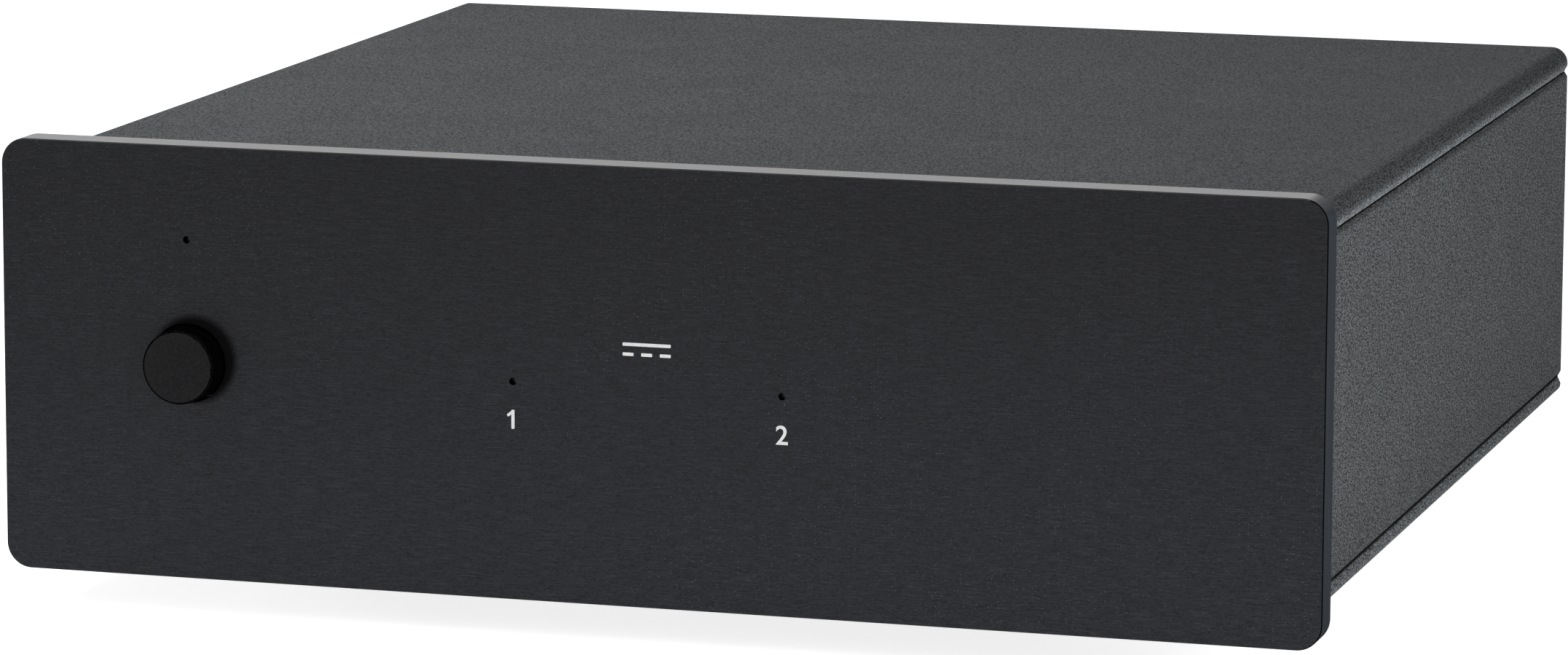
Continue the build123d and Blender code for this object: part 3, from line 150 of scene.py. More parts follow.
def makeFloor():
    # plain and pale, with a glow that only sight, mirrors and glass get, so that it reads as white
    selectNothing()
    bpy.ops.mesh.primitive_plane_add(size=studio["floorSize"])
    floor = bpy.context.object
    floor.name = "studioFloor"
    material = bpy.data.materials.new("paleFloor")
    material.use_nodes = True
    tree = material.node_tree
    shader = tree.nodes["Principled BSDF"]
    shader.inputs["Base Color"].default_value = (*studio["floorColour"], 1)
    shader.inputs["Roughness"].default_value = 0.9
    shader.inputs["Specular IOR Level"].default_value = 0.0
    shader.inputs["Emission Color"].default_value = (1, 1, 1, 1)
    glow = tree.nodes.new("ShaderNodeMath")
    glow.operation = "MULTIPLY"
    glow.inputs[1].default_value = studio["floorGlow"]
    tree.links.new(seenDirectly(tree), glow.inputs[0])
    tree.links.new(glow.outputs[0], shader.inputs["Emission Strength"])
    floor.data.materials.append(material)


for lampName, (place, aim, size, watts) in studio["lamps"].items():
    makeLamp(lampName, place, aim, size, watts)
makeWorld()
makeFloor()
bpy.context.scene.view_settings.view_transform = "Standard"
print("studio lit")


class Finish:
    # a Principled material and the few nodes that its pattern needs

    def __init__(self, name, roughness, metallic=0.0, specular=0.5, **others):
        self.material = bpy.data.materials.new(name)
        self.material.use_nodes = True
        self.tree = self.material.node_tree
        self.shader = self.tree.nodes["Principled BSDF"]
        self.setValue("Roughness", roughness)
        self.setValue("Metallic", metallic)
        self.setValue("Specular IOR Level", specular)
        for socket, value in others.items():
            self.setValue(socket.replace("_", " "), value)
        place = self.add("ShaderNodeTexCoord")
        self.coordinates = place.outputs["Object"]
        self.normal = place.outputs["Normal"]

    def setValue(self, socket, value):
        self.shader.inputs[socket].default_value = value

    def add(self, kind, **settings):
        node = self.tree.nodes.new(kind)
        for name, value in settings.items():
            setattr(node, name, value)
        return node

    def link(self, start, end):
        self.tree.links.new(start, end)

    def feed(self, socket, value):
        # a number or colour is typed in, anything else is linked
        if isinstance(value, (int, float)):
            socket.default_value = value
        elif isinstance(value, tuple):
            socket.default_value = (*value, 1)
        else:
            self.link(value, socket)

    def mapped(self, scale=(1, 1, 1), place=(0, 0, 0), turn=(0, 0, 0)):
        node = self.add("ShaderNodeMapping")
        node.inputs["Scale"].default_value = scale
        node.inputs["Location"].default_value = place
        node.inputs["Rotation"].default_value = turn
        self.link(self.coordinates, node.inputs["Vector"])
        return node.outputs["Vector"]

    def noise(self, scale, detail=2.0, vector=None, roughness=0.5):
        node = self.add("ShaderNodeTexNoise")
        node.inputs["Scale"].default_value = scale
        node.inputs["Detail"].default_value = detail
        node.inputs["Roughness"].default_value = roughness
        self.link(vector or self.coordinates, node.inputs["Vector"])
        return node.outputs["Fac"]

    def axis(self, vector, name):
        node = self.add("ShaderNodeSeparateXYZ")
        self.link(vector, node.inputs[0])
        return node.outputs[name]

    def ramp(self, value, *stops):
        # stops are (position, colour or grey)
        node = self.add("ShaderNodeValToRGB")
        elements = node.color_ramp.elements
        while len(elements) < len(stops):
            elements.new(0.5)
        for element, (position, colour) in zip(elements, stops):
            element.position = position
            element.color = (*colour, 1) if isinstance(colour, tuple) else (colour, colour, colour, 1)
        self.link(value, node.inputs["Fac"])
        return node.outputs["Color"]

    def fit(self, value, low, high, newLow=0.0, newHigh=1.0):
        node = self.add("ShaderNodeMapRange")
        limits = {"From Min": low, "From Max": high, "To Min": newLow, "To Max": newHigh}
        for socket, number in limits.items():
            node.inputs[socket].default_value = number
        self.link(value, node.inputs["Value"])
        return node.outputs["Result"]

    def calculate(self, operation, first, second=None):
        node = self.add("ShaderNodeMath", operation=operation)
        self.feed(node.inputs[0], first)
        if second is not None:
            self.feed(node.inputs[1], second)
        return node.outputs[0]

    def times(self, first, second):
        return self.calculate("MULTIPLY", first, second)

    def minus(self, first, second):
        return self.calculate("SUBTRACT", first, second)

    def scaled(self, colour, factor):
        node = self.add("ShaderNodeVectorMath", operation="SCALE")
        if isinstance(colour, tuple):
            node.inputs[0].default_value = colour
        else:
            self.link(colour, node.inputs[0])
        self.feed(node.inputs["Scale"], factor)
        return node.outputs[0]

    def mix(self, factor, first, second):
        node = self.add("ShaderNodeMix", data_type="RGBA")
        colourInputs = [socket for socket in node.inputs if socket.type == "RGBA"]
        self.feed(node.inputs["Factor"], factor)
        self.feed(colourInputs[0], first)
        self.feed(colourInputs[1], second)
        return [socket for socket in node.outputs if socket.type == "RGBA"][0]

    def colour(self, value):
        self.feed(self.shader.inputs["Base Color"], value)

    def roughness(self, value):
        self.link(value, self.shader.inputs["Roughness"])

    def bump(self, height, distance):
        node = self.add("ShaderNodeBump")
        node.inputs["Distance"].default_value = distance
        self.link(height, node.inputs["Height"])
        self.link(node.outputs["Normal"], self.shader.inputs["Normal"])


def dress(material, *names):
    for name in names:
        data = nodes[name].data
        data.materials.clear()
        data.materials.append(material)


blasted = {
    "colour": (0.0530, 0.0565, 0.0597),
    "grain": (4300.0, 1200.0, 4300.0),  # drawn out along the extrusion
    "grainRange": (0.36, 0.64),  # where the noise gives the darkest and the lightest grain
    "contrast": (0.16, 1.92),  # darkest and lightest grain, as shares of the colour
    "darkest": 0.04,  # the share that no grain falls below
    "grainDepth": 0.04 * mm,
    "mottle": 60.0,
    "mottleRange": (0.3, 0.7, 0.94, 1.06),
    "roughness": 0.68,
    "specular": 0.02,
    "sideRange": (0.3, 0.7),  # how far aside a face looks, where the side's finish begins and is full
    "sideContrast": 1.85,  # how much stronger the grain is on the side walls
    "sideTone": 0.93,  # share of the colour there, since strong grain is lighter on the whole
    "roundingRange": ((0.995, 0.85), (0.05, 0.30)),  # how far up the rounded edge looks, at its two ends
    "roundingShade": 0.56,  # share of the colour that the cover's rounded edge keeps
    "sideShade": (63.6 * mm, 64.6 * mm, 0.54),  # from and to which height, and the share kept
    "foot": (24.0 * mm, 12.5 * mm, 0.88),  # painted shade towards the foot of the side walls: the same, downwards
    "lip": (66.5 * mm, 65.2 * mm, 2.7),  # painted highlight along the band just above the upper seam: from and to which height, and how much lighter
    "base": (12.0 * mm, 9.8 * mm, 1.38, 1.88),  # painted light below the lower seam, from its top down
    "baseLightTop": (12.06 * mm, 12.0 * mm),
    "seams": ((12.3 * mm, 0.58 * mm), (64.85 * mm, 0.17 * mm)),  # height of each seam, and half the width of the painted shade along it
    # share of the colour kept in the middle of the painted seam shade
    "seamShade": 0.02,
    "seamBlend": 0.05 * mm,
}


def blastedAluminium():
    finish = Finish("blastedBlackAluminium", blasted["roughness"], specular=blasted["specular"])
    times = finish.times
    height = finish.axis(finish.coordinates, "Z")
    upward = finish.axis(finish.normal, "Z")
    aside = finish.calculate("ABSOLUTE", finish.axis(finish.normal, "X"))
    sideways = finish.fit(aside, *blasted["sideRange"])
    upperSeam = blasted["seams"][1][0]
    aboveSeam = finish.fit(height, upperSeam - blasted["seamBlend"], upperSeam + blasted["seamBlend"])
    belowSeam = finish.minus(1.0, aboveSeam)

    grain = finish.noise(1.0, detail=3.0, vector=finish.mapped(scale=blasted["grain"]), roughness=0.75)
    dark, light = blasted["contrast"]
    stronger = finish.fit(sideways, 0, 1, 1, blasted["sideContrast"])
    spread = times(finish.fit(grain, *blasted["grainRange"], dark - 1, light - 1), stronger)
    tone = finish.calculate("MAXIMUM", finish.calculate("ADD", spread, 1.0), blasted["darkest"])
    tone = times(tone, finish.fit(finish.noise(blasted["mottle"], detail=3.0), *blasted["mottleRange"]))

    # painted shade on the top cover's rounded edge, and on the side walls just below the upper seam
    flatEnd, steepEnd = blasted["roundingRange"]
    rounding = times(finish.fit(upward, *flatEnd), finish.fit(upward, *steepEnd))
    tone = times(tone, finish.fit(times(rounding, aboveSeam), 0, 1, 1, blasted["roundingShade"]))
    low, high, kept = blasted["sideShade"]
    shade = times(times(finish.fit(height, low, high), belowSeam), sideways)
    tone = times(tone, finish.fit(shade, 0, 1, 1, kept))
    tone = times(tone, finish.fit(sideways, 0, 1, 1, blasted["sideTone"]))
    # painted shade, darker towards the foot of the side walls
    high, low, kept = blasted["foot"]
    tone = times(tone, finish.fit(times(finish.fit(height, high, low), sideways), 0, 1, 1, kept))
    # painted highlight along the band just above the upper seam, on the side-facing faces
    high, low, shine = blasted["lip"]
    lip = times(times(finish.fit(height, high, low), aboveSeam), sideways)
    tone = times(tone, finish.fit(lip, 0, 1, 1, shine))
    # painted light on the bottom cover's edge below the lower seam
    base = finish.fit(height, *blasted["base"])
    lowest = times(finish.fit(height, *blasted["baseLightTop"]), sideways)
    tone = times(tone, finish.calculate("ADD", times(finish.minus(base, 1.0), lowest), 1.0))
    # painted shade along both seams; the roughness rises there too
    plain = []
    for seam, half in blasted["seams"]:
        away = finish.calculate("ABSOLUTE", finish.minus(height, seam))
        plain.append(finish.fit(away, 0.5 * half, half, blasted["seamShade"], 1.0))
        tone = times(tone, plain[-1])
    finish.roughness(finish.fit(finish.calculate("MINIMUM", *plain), 0, 1, 1.0, blasted["roughness"]))
    finish.colour(finish.scaled(blasted["colour"], tone))
    finish.bump(grain, blasted["grainDepth"])
    return finish.material


dress(blastedAluminium(), "top_cover", "bottom_cover", "left_side_panel", "right_side_panel", "rear_panel")
print("case dressed")

brushed = {
    "dark": (0.0022, 0.0026, 0.0042),
    "light": (0.0262, 0.0278, 0.0330),
    "streak": (0.050, 0.053, 0.062),
    "speck": (0.25, 0.27, 0.30),
    "grain": (2200.0, 4200.0, 6500.0),
    "grainRange": (0.32, 0.68),
    "grainDepth": 0.02 * mm,
    "streaks": (230.0, 230.0, 7500.0),
    "streakRange": (0.50, 0.70, 0.0, 0.55),
    "specks": 2100.0,
    "speckSize": (0.15, 0.07),  # edge and middle, as shares of a cell
    "speckChance": (0.80, 1.0),  # only cells drawn above the first number get a speck
    "crowds": 22.0,
    "crowdRange": (0.42, 0.66, 0.15, 1.0),
    "roughness": 0.50,
    "specular": 0.12,
    "upright": (10.0 * mm, 66.0 * mm, 1.06, 0.66),  # painted light: lighter near the foot of the panel
    "buttonShadow": ((-71.9 * mm, 39.4 * mm), 6.0 * mm, 7.2 * mm),  # middle and reach of the button's painted soft shadow
}


def brushedFace():
    # fine grain, sparse long streaks and tiny bright specks, with painted light near the panel's foot and
    # a painted shadow beside the button
    finish = Finish("brushedBlackAluminium", brushed["roughness"], specular=brushed["specular"])
    grain = finish.noise(1.0, detail=3.0, vector=finish.mapped(scale=brushed["grain"]), roughness=0.7)
    streaks = finish.noise(1.0, detail=3.0, vector=finish.mapped(scale=brushed["streaks"]), roughness=0.6)
    darkest, lightest = brushed["grainRange"]
    base = finish.ramp(grain, (darkest, brushed["dark"]), (lightest, brushed["light"]))
    streaked = finish.mix(finish.fit(streaks, *brushed["streakRange"]), base, brushed["streak"])
    cells = finish.add("ShaderNodeTexVoronoi", voronoi_dimensions="2D")
    cells.inputs["Scale"].default_value = brushed["specks"]
    finish.link(finish.mapped(turn=(math.pi / 2, 0, 0)), cells.inputs["Vector"])
    dots = finish.fit(cells.outputs["Distance"], *brushed["speckSize"])
    chance = finish.fit(finish.axis(cells.outputs["Color"], "X"), *brushed["speckChance"])
    crowd = finish.fit(finish.noise(brushed["crowds"]), *brushed["crowdRange"])
    shine = finish.times(finish.times(dots, chance), crowd)
    specked = finish.mix(shine, streaked, brushed["speck"])
    x, z = (finish.axis(finish.coordinates, name) for name in "XZ")
    (middleX, middleZ), inner, outer = brushed["buttonShadow"]
    offsets = (finish.minus(x, middleX), finish.minus(z, middleZ))
    squares = [finish.times(offset, offset) for offset in offsets]
    away = finish.calculate("SQRT", finish.calculate("ADD", *squares))
    # painted light near the panel's foot, times a painted shadow beside the button; the roughness rises in
    # the shadow
    tone = finish.times(finish.fit(z, *brushed["upright"]), finish.fit(away, inner, outer))
    finish.colour(finish.scaled(specked, tone))
    finish.roughness(finish.fit(away, inner, outer, 1.0, brushed["roughness"]))
    finish.bump(grain, brushed["grainDepth"])
    return finish.material


# one milled edge finish in a lit and a shaded copy: painted light on the top and bottom edges, painted
# shade on the side edges
milled = {
    "topColour": (0.044, 0.042, 0.040),
    "topRoughness": 0.30,
    "topSpecular": 0.42,
    "sideColour": (0.0290, 0.0325, 0.0380),
    "sideRoughness": 0.60,
    "sideSpecular": 0.0,
    "turnColour": (0.066, 0.068, 0.072),  # painted light on the shaded edge where it meets the lit one
    "turn": (0.45, 0.80),  # how far up it looks there, from and to
    "lines": (60.0, 7000.0),  # along the edge and across it
    "lineRange": (0.3, 0.7, 0.75, 1.25),
    "split": 0.80,  # how far up a face looks where the lit edge begins
    "fade": (0.84, 0.985),  # where it is still dark, and where it is full
    "topGrain": 4200.0,
    "topDepth": 0.03 * mm,
}


def milledEdge(name, colour, roughness, specular, along, fade):
    # fine tool marks that run along the edge; around the corners the colour fades to the shaded side
    # colour, as painted shade
    finish = Finish(name, roughness, specular=specular)
    lengthwise, crosswise = milled["lines"]
    scale = tuple(lengthwise if axis == along else crosswise for axis in "xyz")
    lines = finish.noise(1.0, vector=finish.mapped(scale=scale))
    upward = finish.calculate("ABSOLUTE", finish.axis(finish.normal, "Z"))
    faded = finish.mix(finish.fit(upward, *fade), milled["sideColour"], colour)
    finish.colour(finish.scaled(faded, finish.fit(lines, *milled["lineRange"])))
    if specular:
        finish.roughness(finish.fit(upward, *fade, 1.0, roughness))
        finish.bump(finish.noise(milled["topGrain"]), milled["topDepth"])
    return finish.material


# black of the bores and of the button's side wall, darker than their own black as painted shade
bore = {
    "dark": 0.0008,
    "light": 0.0022,
    "grain": 2500.0,
    "roughness": 0.8,
}


def boreBlack():
    finish = Finish("boreBlackPaintedShade", bore["roughness"], specular=0.0)
    grain = finish.noise(bore["grain"])
    finish.colour(finish.ramp(grain, (0.3, bore["dark"]), (0.7, bore["light"])))
    return finish.material


def setIntoMesh(piece):
    # the place goes into the mesh, and the object back to the origin
    selectNothing()
    piece.select_set(True)
    bpy.context.view_layer.objects.active = piece
    bpy.ops.object.transform_apply(location=True, rotation=True, scale=True)


def pick(piece, kind, test):
    # leaves the piece in edit mode with only those faces or edges selected that pass the test
    selectNothing()
    piece.select_set(True)
    bpy.context.view_layer.objects.active = piece
    bpy.ops.object.mode_set(mode="EDIT")
    bpy.ops.mesh.select_mode(type=kind)
    bpy.ops.mesh.select_all(action="DESELECT")
    bpy.ops.object.mode_set(mode="OBJECT")
    mesh = piece.data
    if kind == "FACE":
        for face in mesh.polygons:
            face.select = test(face.center, face.normal)
    else:
        for edge in mesh.edges:
            start, end = (mesh.vertices[index].co for index in edge.vertices)
            edge.select = test((start + end) / 2, end - start)
    bpy.ops.object.mode_set(mode="EDIT")


def alongDepth(spot, way):
    # whether an edge runs along Y
    return abs(way.y) > 0.9 * way.length


def addRod(radius, front, rear, place, sides=32):
    # a round bar along Y at a place given as (x, z)
    selectNothing()
    bpy.ops.mesh.primitive_cylinder_add(
        vertices=sides, radius=radius, depth=rear - front,
        location=(place[0], (front + rear) / 2, place[1]), rotation=(math.pi / 2, 0, 0),
    )
    setIntoMesh(bpy.context.object)
    return bpy.context.object


def joined(pieces):
    selectNothing()
    for piece in pieces:
        piece.select_set(True)
    bpy.context.view_layer.objects.active = pieces[0]
    if len(pieces) > 1:
        bpy.ops.object.join()
    return pieces[0]


def combine(piece, others, operation="DIFFERENCE"):
    other = joined(others)
    selectNothing()
    piece.select_set(True)
    bpy.context.view_layer.objects.active = piece
    step = piece.modifiers.new("combine", "BOOLEAN")
    step.operation = operation
    step.solver = "EXACT"
    step.object = other
    bpy.ops.object.modifier_apply(modifier="combine")
    selectNothing()
    other.select_set(True)
    bpy.ops.object.delete()
    return piece


def smoothByAngle(piece, degrees):
    selectNothing()
    piece.select_set(True)
    bpy.context.view_layer.objects.active = piece
    bpy.ops.object.shade_smooth_by_angle(angle=math.radians(degrees))


def assign(piece, index, test):
    pick(piece, "FACE", test)
    piece.active_material_index = index
    bpy.ops.object.material_slot_assign()
    bpy.ops.object.mode_set(mode="OBJECT")


panel = {
    "corner": 3.9 * mm,
    "cornerSteps": 16,
    "edgeBreak": 0.16 * mm,
    "buttonPlace": (-73.0 * mm, 38.75 * mm),
    "buttonHole": 6.1 * mm,
    "buttonHoleSides": 96,
    "pinholes": ((-73.0 * mm, 57.65 * mm), (-21.0 * mm, 38.75 * mm), (21.0 * mm, 38.75 * mm)),
    "pinhole": 0.575 * mm,
    "pinholeWeb": 1.5 * mm,
    "lampSocket": 1.55 * mm,
    "screwPockets": [(x * mm, z * mm) for x in (-91.2, 91.2) for z in (14.85, 63.4)],
    "pocket": (3.15 * mm, 2.3 * mm),  # radius and depth
    "tappedHoles": [(x * mm, z * mm) for x in (-60.0, 60.0) for z in (18.75, 58.75)],
    "tapped": (1.55 * mm, 3.9 * mm),
    "reach": 1 * mm,  # how far a cutting rod goes past the panel
    "edgeOn": 0.9,  # a face that looks less far along Y than this isn't the front or the back
    "aside": 0.2,  # a face that looks less far along an axis than this doesn't face that way
}


def makeFrontPanel():
    low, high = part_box("front_panel")
    middle = (low + high) / 2
    front, rear = low.y, high.y
    selectNothing()
    bpy.ops.mesh.primitive_cube_add(size=1, location=middle, scale=high - low)
    piece = bpy.context.object
    piece.name = "frontPanel"
    setIntoMesh(piece)
    pick(piece, "EDGE", alongDepth)
    bpy.ops.mesh.bevel(offset=panel["corner"], segments=panel["cornerSteps"], affect="EDGES")
    pick(piece, "EDGE", lambda spot, way: abs(way.y) < 1e-6)
    bpy.ops.mesh.bevel(offset=panel["edgeBreak"], segments=1, affect="EDGES")
    before, beyond = front - panel["reach"], rear + panel["reach"]
    bores = [addRod(panel["buttonHole"], before, beyond, panel["buttonPlace"], panel["buttonHoleSides"])]
    bores += [addRod(panel["pinhole"], before, beyond, spot) for spot in panel["pinholes"]]
    combine(piece, bores)
    web = front + panel["pinholeWeb"]
    pockets = [addRod(panel["lampSocket"], web, beyond, spot) for spot in panel["pinholes"]]
    radius, depth = panel["pocket"]
    pockets += [addRod(radius, rear - depth, beyond, spot) for spot in panel["screwPockets"]]
    radius, depth = panel["tapped"]
    pockets += [addRod(radius, rear - depth, beyond, spot) for spot in panel["tappedHoles"]]
    combine(piece, pockets)

    piece.data.materials.append(brushedFace())
    top, side = (milled[key] for key in ("topColour", "turnColour"))
    # the lit and the shaded copy of the milled edge, as painted light and painted shade
    piece.data.materials.append(milledEdge(
        "milledEdgePaintedLight", top, milled["topRoughness"], milled["topSpecular"], "x", milled["fade"]))
    piece.data.materials.append(milledEdge(
        "milledEdgePaintedShade", side, milled["sideRoughness"], milled["sideSpecular"], "z", milled["turn"]))
    piece.data.materials.append(boreBlack())
    rim = panel["edgeBreak"] * 1.05
    inside = [(panel["buttonPlace"], panel["buttonHole"])]
    inside += [(spot, panel["lampSocket"]) for spot in panel["pinholes"]]

    def inBore(spot):
        return any(math.hypot(spot.x - x, spot.z - z) < radius + 0.05 * mm for (x, z), radius in inside)

    def isEdge(spot, normal):
        return abs(normal.y) < panel["edgeOn"]

    def isUpperEdge(spot, normal):
        return abs(normal.z) > milled["split"] and front + rim < spot.y < rear - rim

    # the bores get the black, and the break along the front right edge gets it as a painted dark
    # reflection
    def isBlack(spot, normal):
        rightBreak = normal.x > panel["aside"] and spot.y < front + rim
        return isEdge(spot, normal) and (inBore(spot) or rightBreak)

    # painted highlight: the break along the rear right edge gets the lit copy
    def isRearBreak(spot, normal):
        slanted = panel["aside"] < normal.y < panel["edgeOn"]
        return slanted and normal.x > panel["aside"] and spot.y > rear - rim

    # later tests overrule earlier ones
    assign(piece, 2, isEdge)
    assign(piece, 1, isUpperEdge)
    assign(piece, 3, isBlack)
    assign(piece, 1, isRearBreak)
    smoothByAngle(piece, 30)
    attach(piece, "case")
    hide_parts("front_panel")


makeFrontPanel()
print("front panel made")

button = {
    "radius": 5.7 * mm,
    "sides": 96,
    "faceBreak": 0.35 * mm,
    "flange": 7.2 * mm,
    "flangeThickness": 1.2 * mm,
    "stemSocket": (1.6 * mm, 5.0 * mm),  # radius and depth at the rear
    "colour": (0.0072, 0.0074, 0.0082),
    "contrast": 0.65,
    # the broken edge of the face: stronger speckle, and darker than the face as painted shade
    "rimShadeColour": (0.0034, 0.0034, 0.0037),
    "rimContrast": 1.0,
    "grain": 4400.0,
    "grainRange": (0.35, 0.65),
    "grainDepth": 0.03 * mm,
    "roughness": 0.72,
    "specular": 0.12,
    "flat": 0.985,  # a face that looks this far forward is the flat front
    "sideOn": 0.1,  # and one that looks less far forward than this is the side
}


def buttonFinish(name, colour, contrast, specular):
    finish = Finish(name, button["roughness"], specular=specular)
    grain = finish.noise(button["grain"])
    tone = finish.fit(grain, *button["grainRange"], 1 - contrast, 1 + contrast)
    finish.colour(finish.scaled(colour, tone))
    finish.bump(grain, button["grainDepth"])
    return finish.material


def makePowerButton():
    low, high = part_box("power_button")
    flangeFront = high.y - button["flangeThickness"]
    piece = addRod(button["radius"], low.y, flangeFront, panel["buttonPlace"], button["sides"])
    piece.name = "powerButton"
    middle = Vector((panel["buttonPlace"][0], high.y, panel["buttonPlace"][1]))
    pick(piece, "FACE", lambda spot, normal: normal.y > 0.9)
    bpy.ops.mesh.extrude_region_move()
    wide = button["flange"] / button["radius"]
    bpy.ops.transform.resize(value=(wide, 1, wide), center_override=(middle.x, flangeFront, middle.z))
    bpy.ops.mesh.extrude_region_move(TRANSFORM_OT_translate={"value": (0, button["flangeThickness"], 0)})
    stemRadius, stemDepth = button["stemSocket"]
    bpy.ops.mesh.extrude_region_move()
    narrow = stemRadius / button["flange"]
    bpy.ops.transform.resize(value=(narrow, 1, narrow), center_override=middle)
    bpy.ops.mesh.extrude_region_move(TRANSFORM_OT_translate={"value": (0, -stemDepth, 0)})
    pick(piece, "EDGE", lambda spot, way: spot.y < low.y + 0.01 * mm)
    bpy.ops.mesh.bevel(offset=button["faceBreak"], segments=3, affect="EDGES")
    matt = buttonFinish("mattBlackButton", button["colour"], button["contrast"], button["specular"])
    piece.data.materials.append(matt)
    speckledShadedRim = buttonFinish("speckledShadedButtonRim", button["rimShadeColour"], button["rimContrast"], 0.0)
    piece.data.materials.append(speckledShadedRim)
    piece.data.materials.append(bpy.data.materials["boreBlackPaintedShade"])

    def isSide(spot, normal):
        return normal.y > -button["flat"]

    def isRim(spot, normal):
        forward = isSide(spot, normal) and normal.y < -button["sideOn"]
        return forward and spot.y < low.y + button["faceBreak"]

    # the side wall gets the painted-shade black, the broken front edge the speckled rim with painted shade
    assign(piece, 2, isSide)
    assign(piece, 1, isRim)
    smoothByAngle(piece, 40)
    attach(piece, "power_button")
    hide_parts("power_button")


makePowerButton()
print("power button made")

spring = {
    "coilRadius": 1.8 * mm,
    "wire": 0.2 * mm,
    "turns": 4,
    "bound": 2.0 * mm,  # length when the button is fully in
    "steps": 24,
    "wireSides": 10,
    "dark": (0.52, 0.52, 0.53),
    "light": (0.70, 0.70, 0.71),
    "grain": 1500.0,
    "roughness": 0.25,
}


def springFinish():
    finish = Finish("brightSpringSteel", spring["roughness"], metallic=1.0)
    grain = finish.noise(spring["grain"])
    finish.colour(finish.ramp(grain, (0.3, spring["dark"]), (0.7, spring["light"])))
    return finish.material


def makeSwitchSpring():
    low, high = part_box("switch_spring")
    length = high.y - low.y
    pitch = (length - 2 * spring["wire"]) / spring["turns"]
    selectNothing()
    bpy.ops.mesh.primitive_circle_add(
        vertices=spring["wireSides"], radius=spring["wire"], location=(spring["coilRadius"], 0, 0),
    )
    piece = bpy.context.object
    piece.name = "switchSpring"
    setIntoMesh(piece)
    wind = piece.modifiers.new("wind", "SCREW")
    wind.axis = "Y"
    wind.screw_offset = pitch
    wind.iterations = spring["turns"]
    wind.steps = wind.render_steps = spring["steps"]
    bpy.ops.object.modifier_apply(modifier="wind")
    bpy.ops.object.mode_set(mode="EDIT")
    bpy.ops.mesh.select_all(action="SELECT")
    bpy.ops.mesh.remove_doubles(threshold=0.001 * mm)
    bpy.ops.mesh.fill_holes(sides=0)
    bpy.ops.mesh.select_all(action="SELECT")
    bpy.ops.mesh.normals_make_consistent(inside=False)
    bpy.ops.object.mode_set(mode="OBJECT")
    x, z = panel["buttonPlace"]
    piece.location = (x, low.y + spring["wire"], z)
    setIntoMesh(piece)
    smoothByAngle(piece, 50)
    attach(piece, "case")
    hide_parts("switch_spring")
    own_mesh(piece)
    piece.data.materials.append(springFinish())


makeSwitchSpring()
print("switch spring wound")

feet = {
    "places": [(x * mm, y * mm) for x in (-72.0, 72.0) for y in (-49.875, 72.125)],
    "baseRadius": 9.5 * mm,
    "topRadius": 10.5 * mm,
    "edgeRound": 1.2 * mm,
    "recess": (4.2 * mm, 5.0 * mm),  # radius and depth
    "screwHole": 1.7 * mm,
    "holeEnd": 0.2 * mm,  # what is left of the rubber above the hole
    "dark": (0.014, 0.014, 0.014),
    "light": (0.030, 0.030, 0.030),
    "grain": 1800.0,
    "grainDepth": 0.04 * mm,
    "roughness": 0.8,
    "specular": 0.2,
}


def footRubber():
    finish = Finish("blackFootRubber", feet["roughness"], specular=feet["specular"])
    grain = finish.noise(feet["grain"])
    finish.colour(finish.ramp(grain, (0.3, feet["dark"]), (0.7, feet["light"])))
    finish.bump(grain, feet["grainDepth"])
    return finish.material


def makeFeet():
    low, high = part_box("feet")
    made = []
    for x, y in feet["places"]:
        selectNothing()
        bpy.ops.mesh.primitive_cone_add(
            vertices=64, radius1=feet["baseRadius"], radius2=feet["topRadius"], depth=high.z - low.z,
            location=(x, y, (low.z + high.z) / 2),
        )
        foot = bpy.context.object
        setIntoMesh(foot)
        base = Vector((x, y, low.z))
        pick(foot, "EDGE", lambda spot, way: spot.z < low.z + 0.01 * mm)
        bpy.ops.mesh.bevel(offset=feet["edgeRound"], segments=6, affect="EDGES")
        radius, depth = feet["recess"]
        shrink = radius / (feet["baseRadius"] - feet["edgeRound"])
        pick(foot, "FACE", lambda spot, normal: normal.z < -0.999)
        bpy.ops.mesh.extrude_region_move()
        bpy.ops.transform.resize(value=(shrink, shrink, 1), center_override=base)
        bpy.ops.mesh.extrude_region_move(TRANSFORM_OT_translate={"value": (0, 0, depth)})
        shrink = feet["screwHole"] / radius
        bpy.ops.mesh.extrude_region_move()
        bpy.ops.transform.resize(value=(shrink, shrink, 1), center_override=(x, y, low.z + depth))
        hole = high.z - low.z - depth - feet["holeEnd"]
        bpy.ops.mesh.extrude_region_move(TRANSFORM_OT_translate={"value": (0, 0, hole)})
        bpy.ops.object.mode_set(mode="OBJECT")
        made.append(foot)
    piece = joined(made)
    piece.name = "rubberFeet"
    piece.data.materials.append(footRubber())
    smoothByAngle(piece, 35)
    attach(piece, "case")
    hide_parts("feet")


makeFeet()
print("feet made")

marks = {
    "digitHeight": 2.9 * mm,
    "digitExtrude": 0.05,  # half the depth of a digit before it is scaled
    "digitBold": 0.012,
    "thickness": 0.02 * mm,
    "frontOne": (-21.0 * mm, 33.0 * mm),
    "frontTwo": (21.0 * mm, 33.0 * mm),
    "rearOne": (34.0 * mm, 50.5 * mm),
    "rearTwo": (70.0 * mm, 50.5 * mm),
    "directSign": (0.0, 44.6 * mm),
    "signWidth": 7.5 * mm,
    "signRise": 1.5 * mm,
    "dashPitch": 1.7,  # in lengths of a dash
    "stroke": 0.5 * mm,
    "strokeCorner": 0.1 * mm,
    "flag": (1.1 * mm, 38.0, 0.85),  # length, slope and thinness of the slanted stroke of a 1
    "colour": (0.97, 0.97, 0.97),
    "wornColour": (0.80, 0.80, 0.80),
}


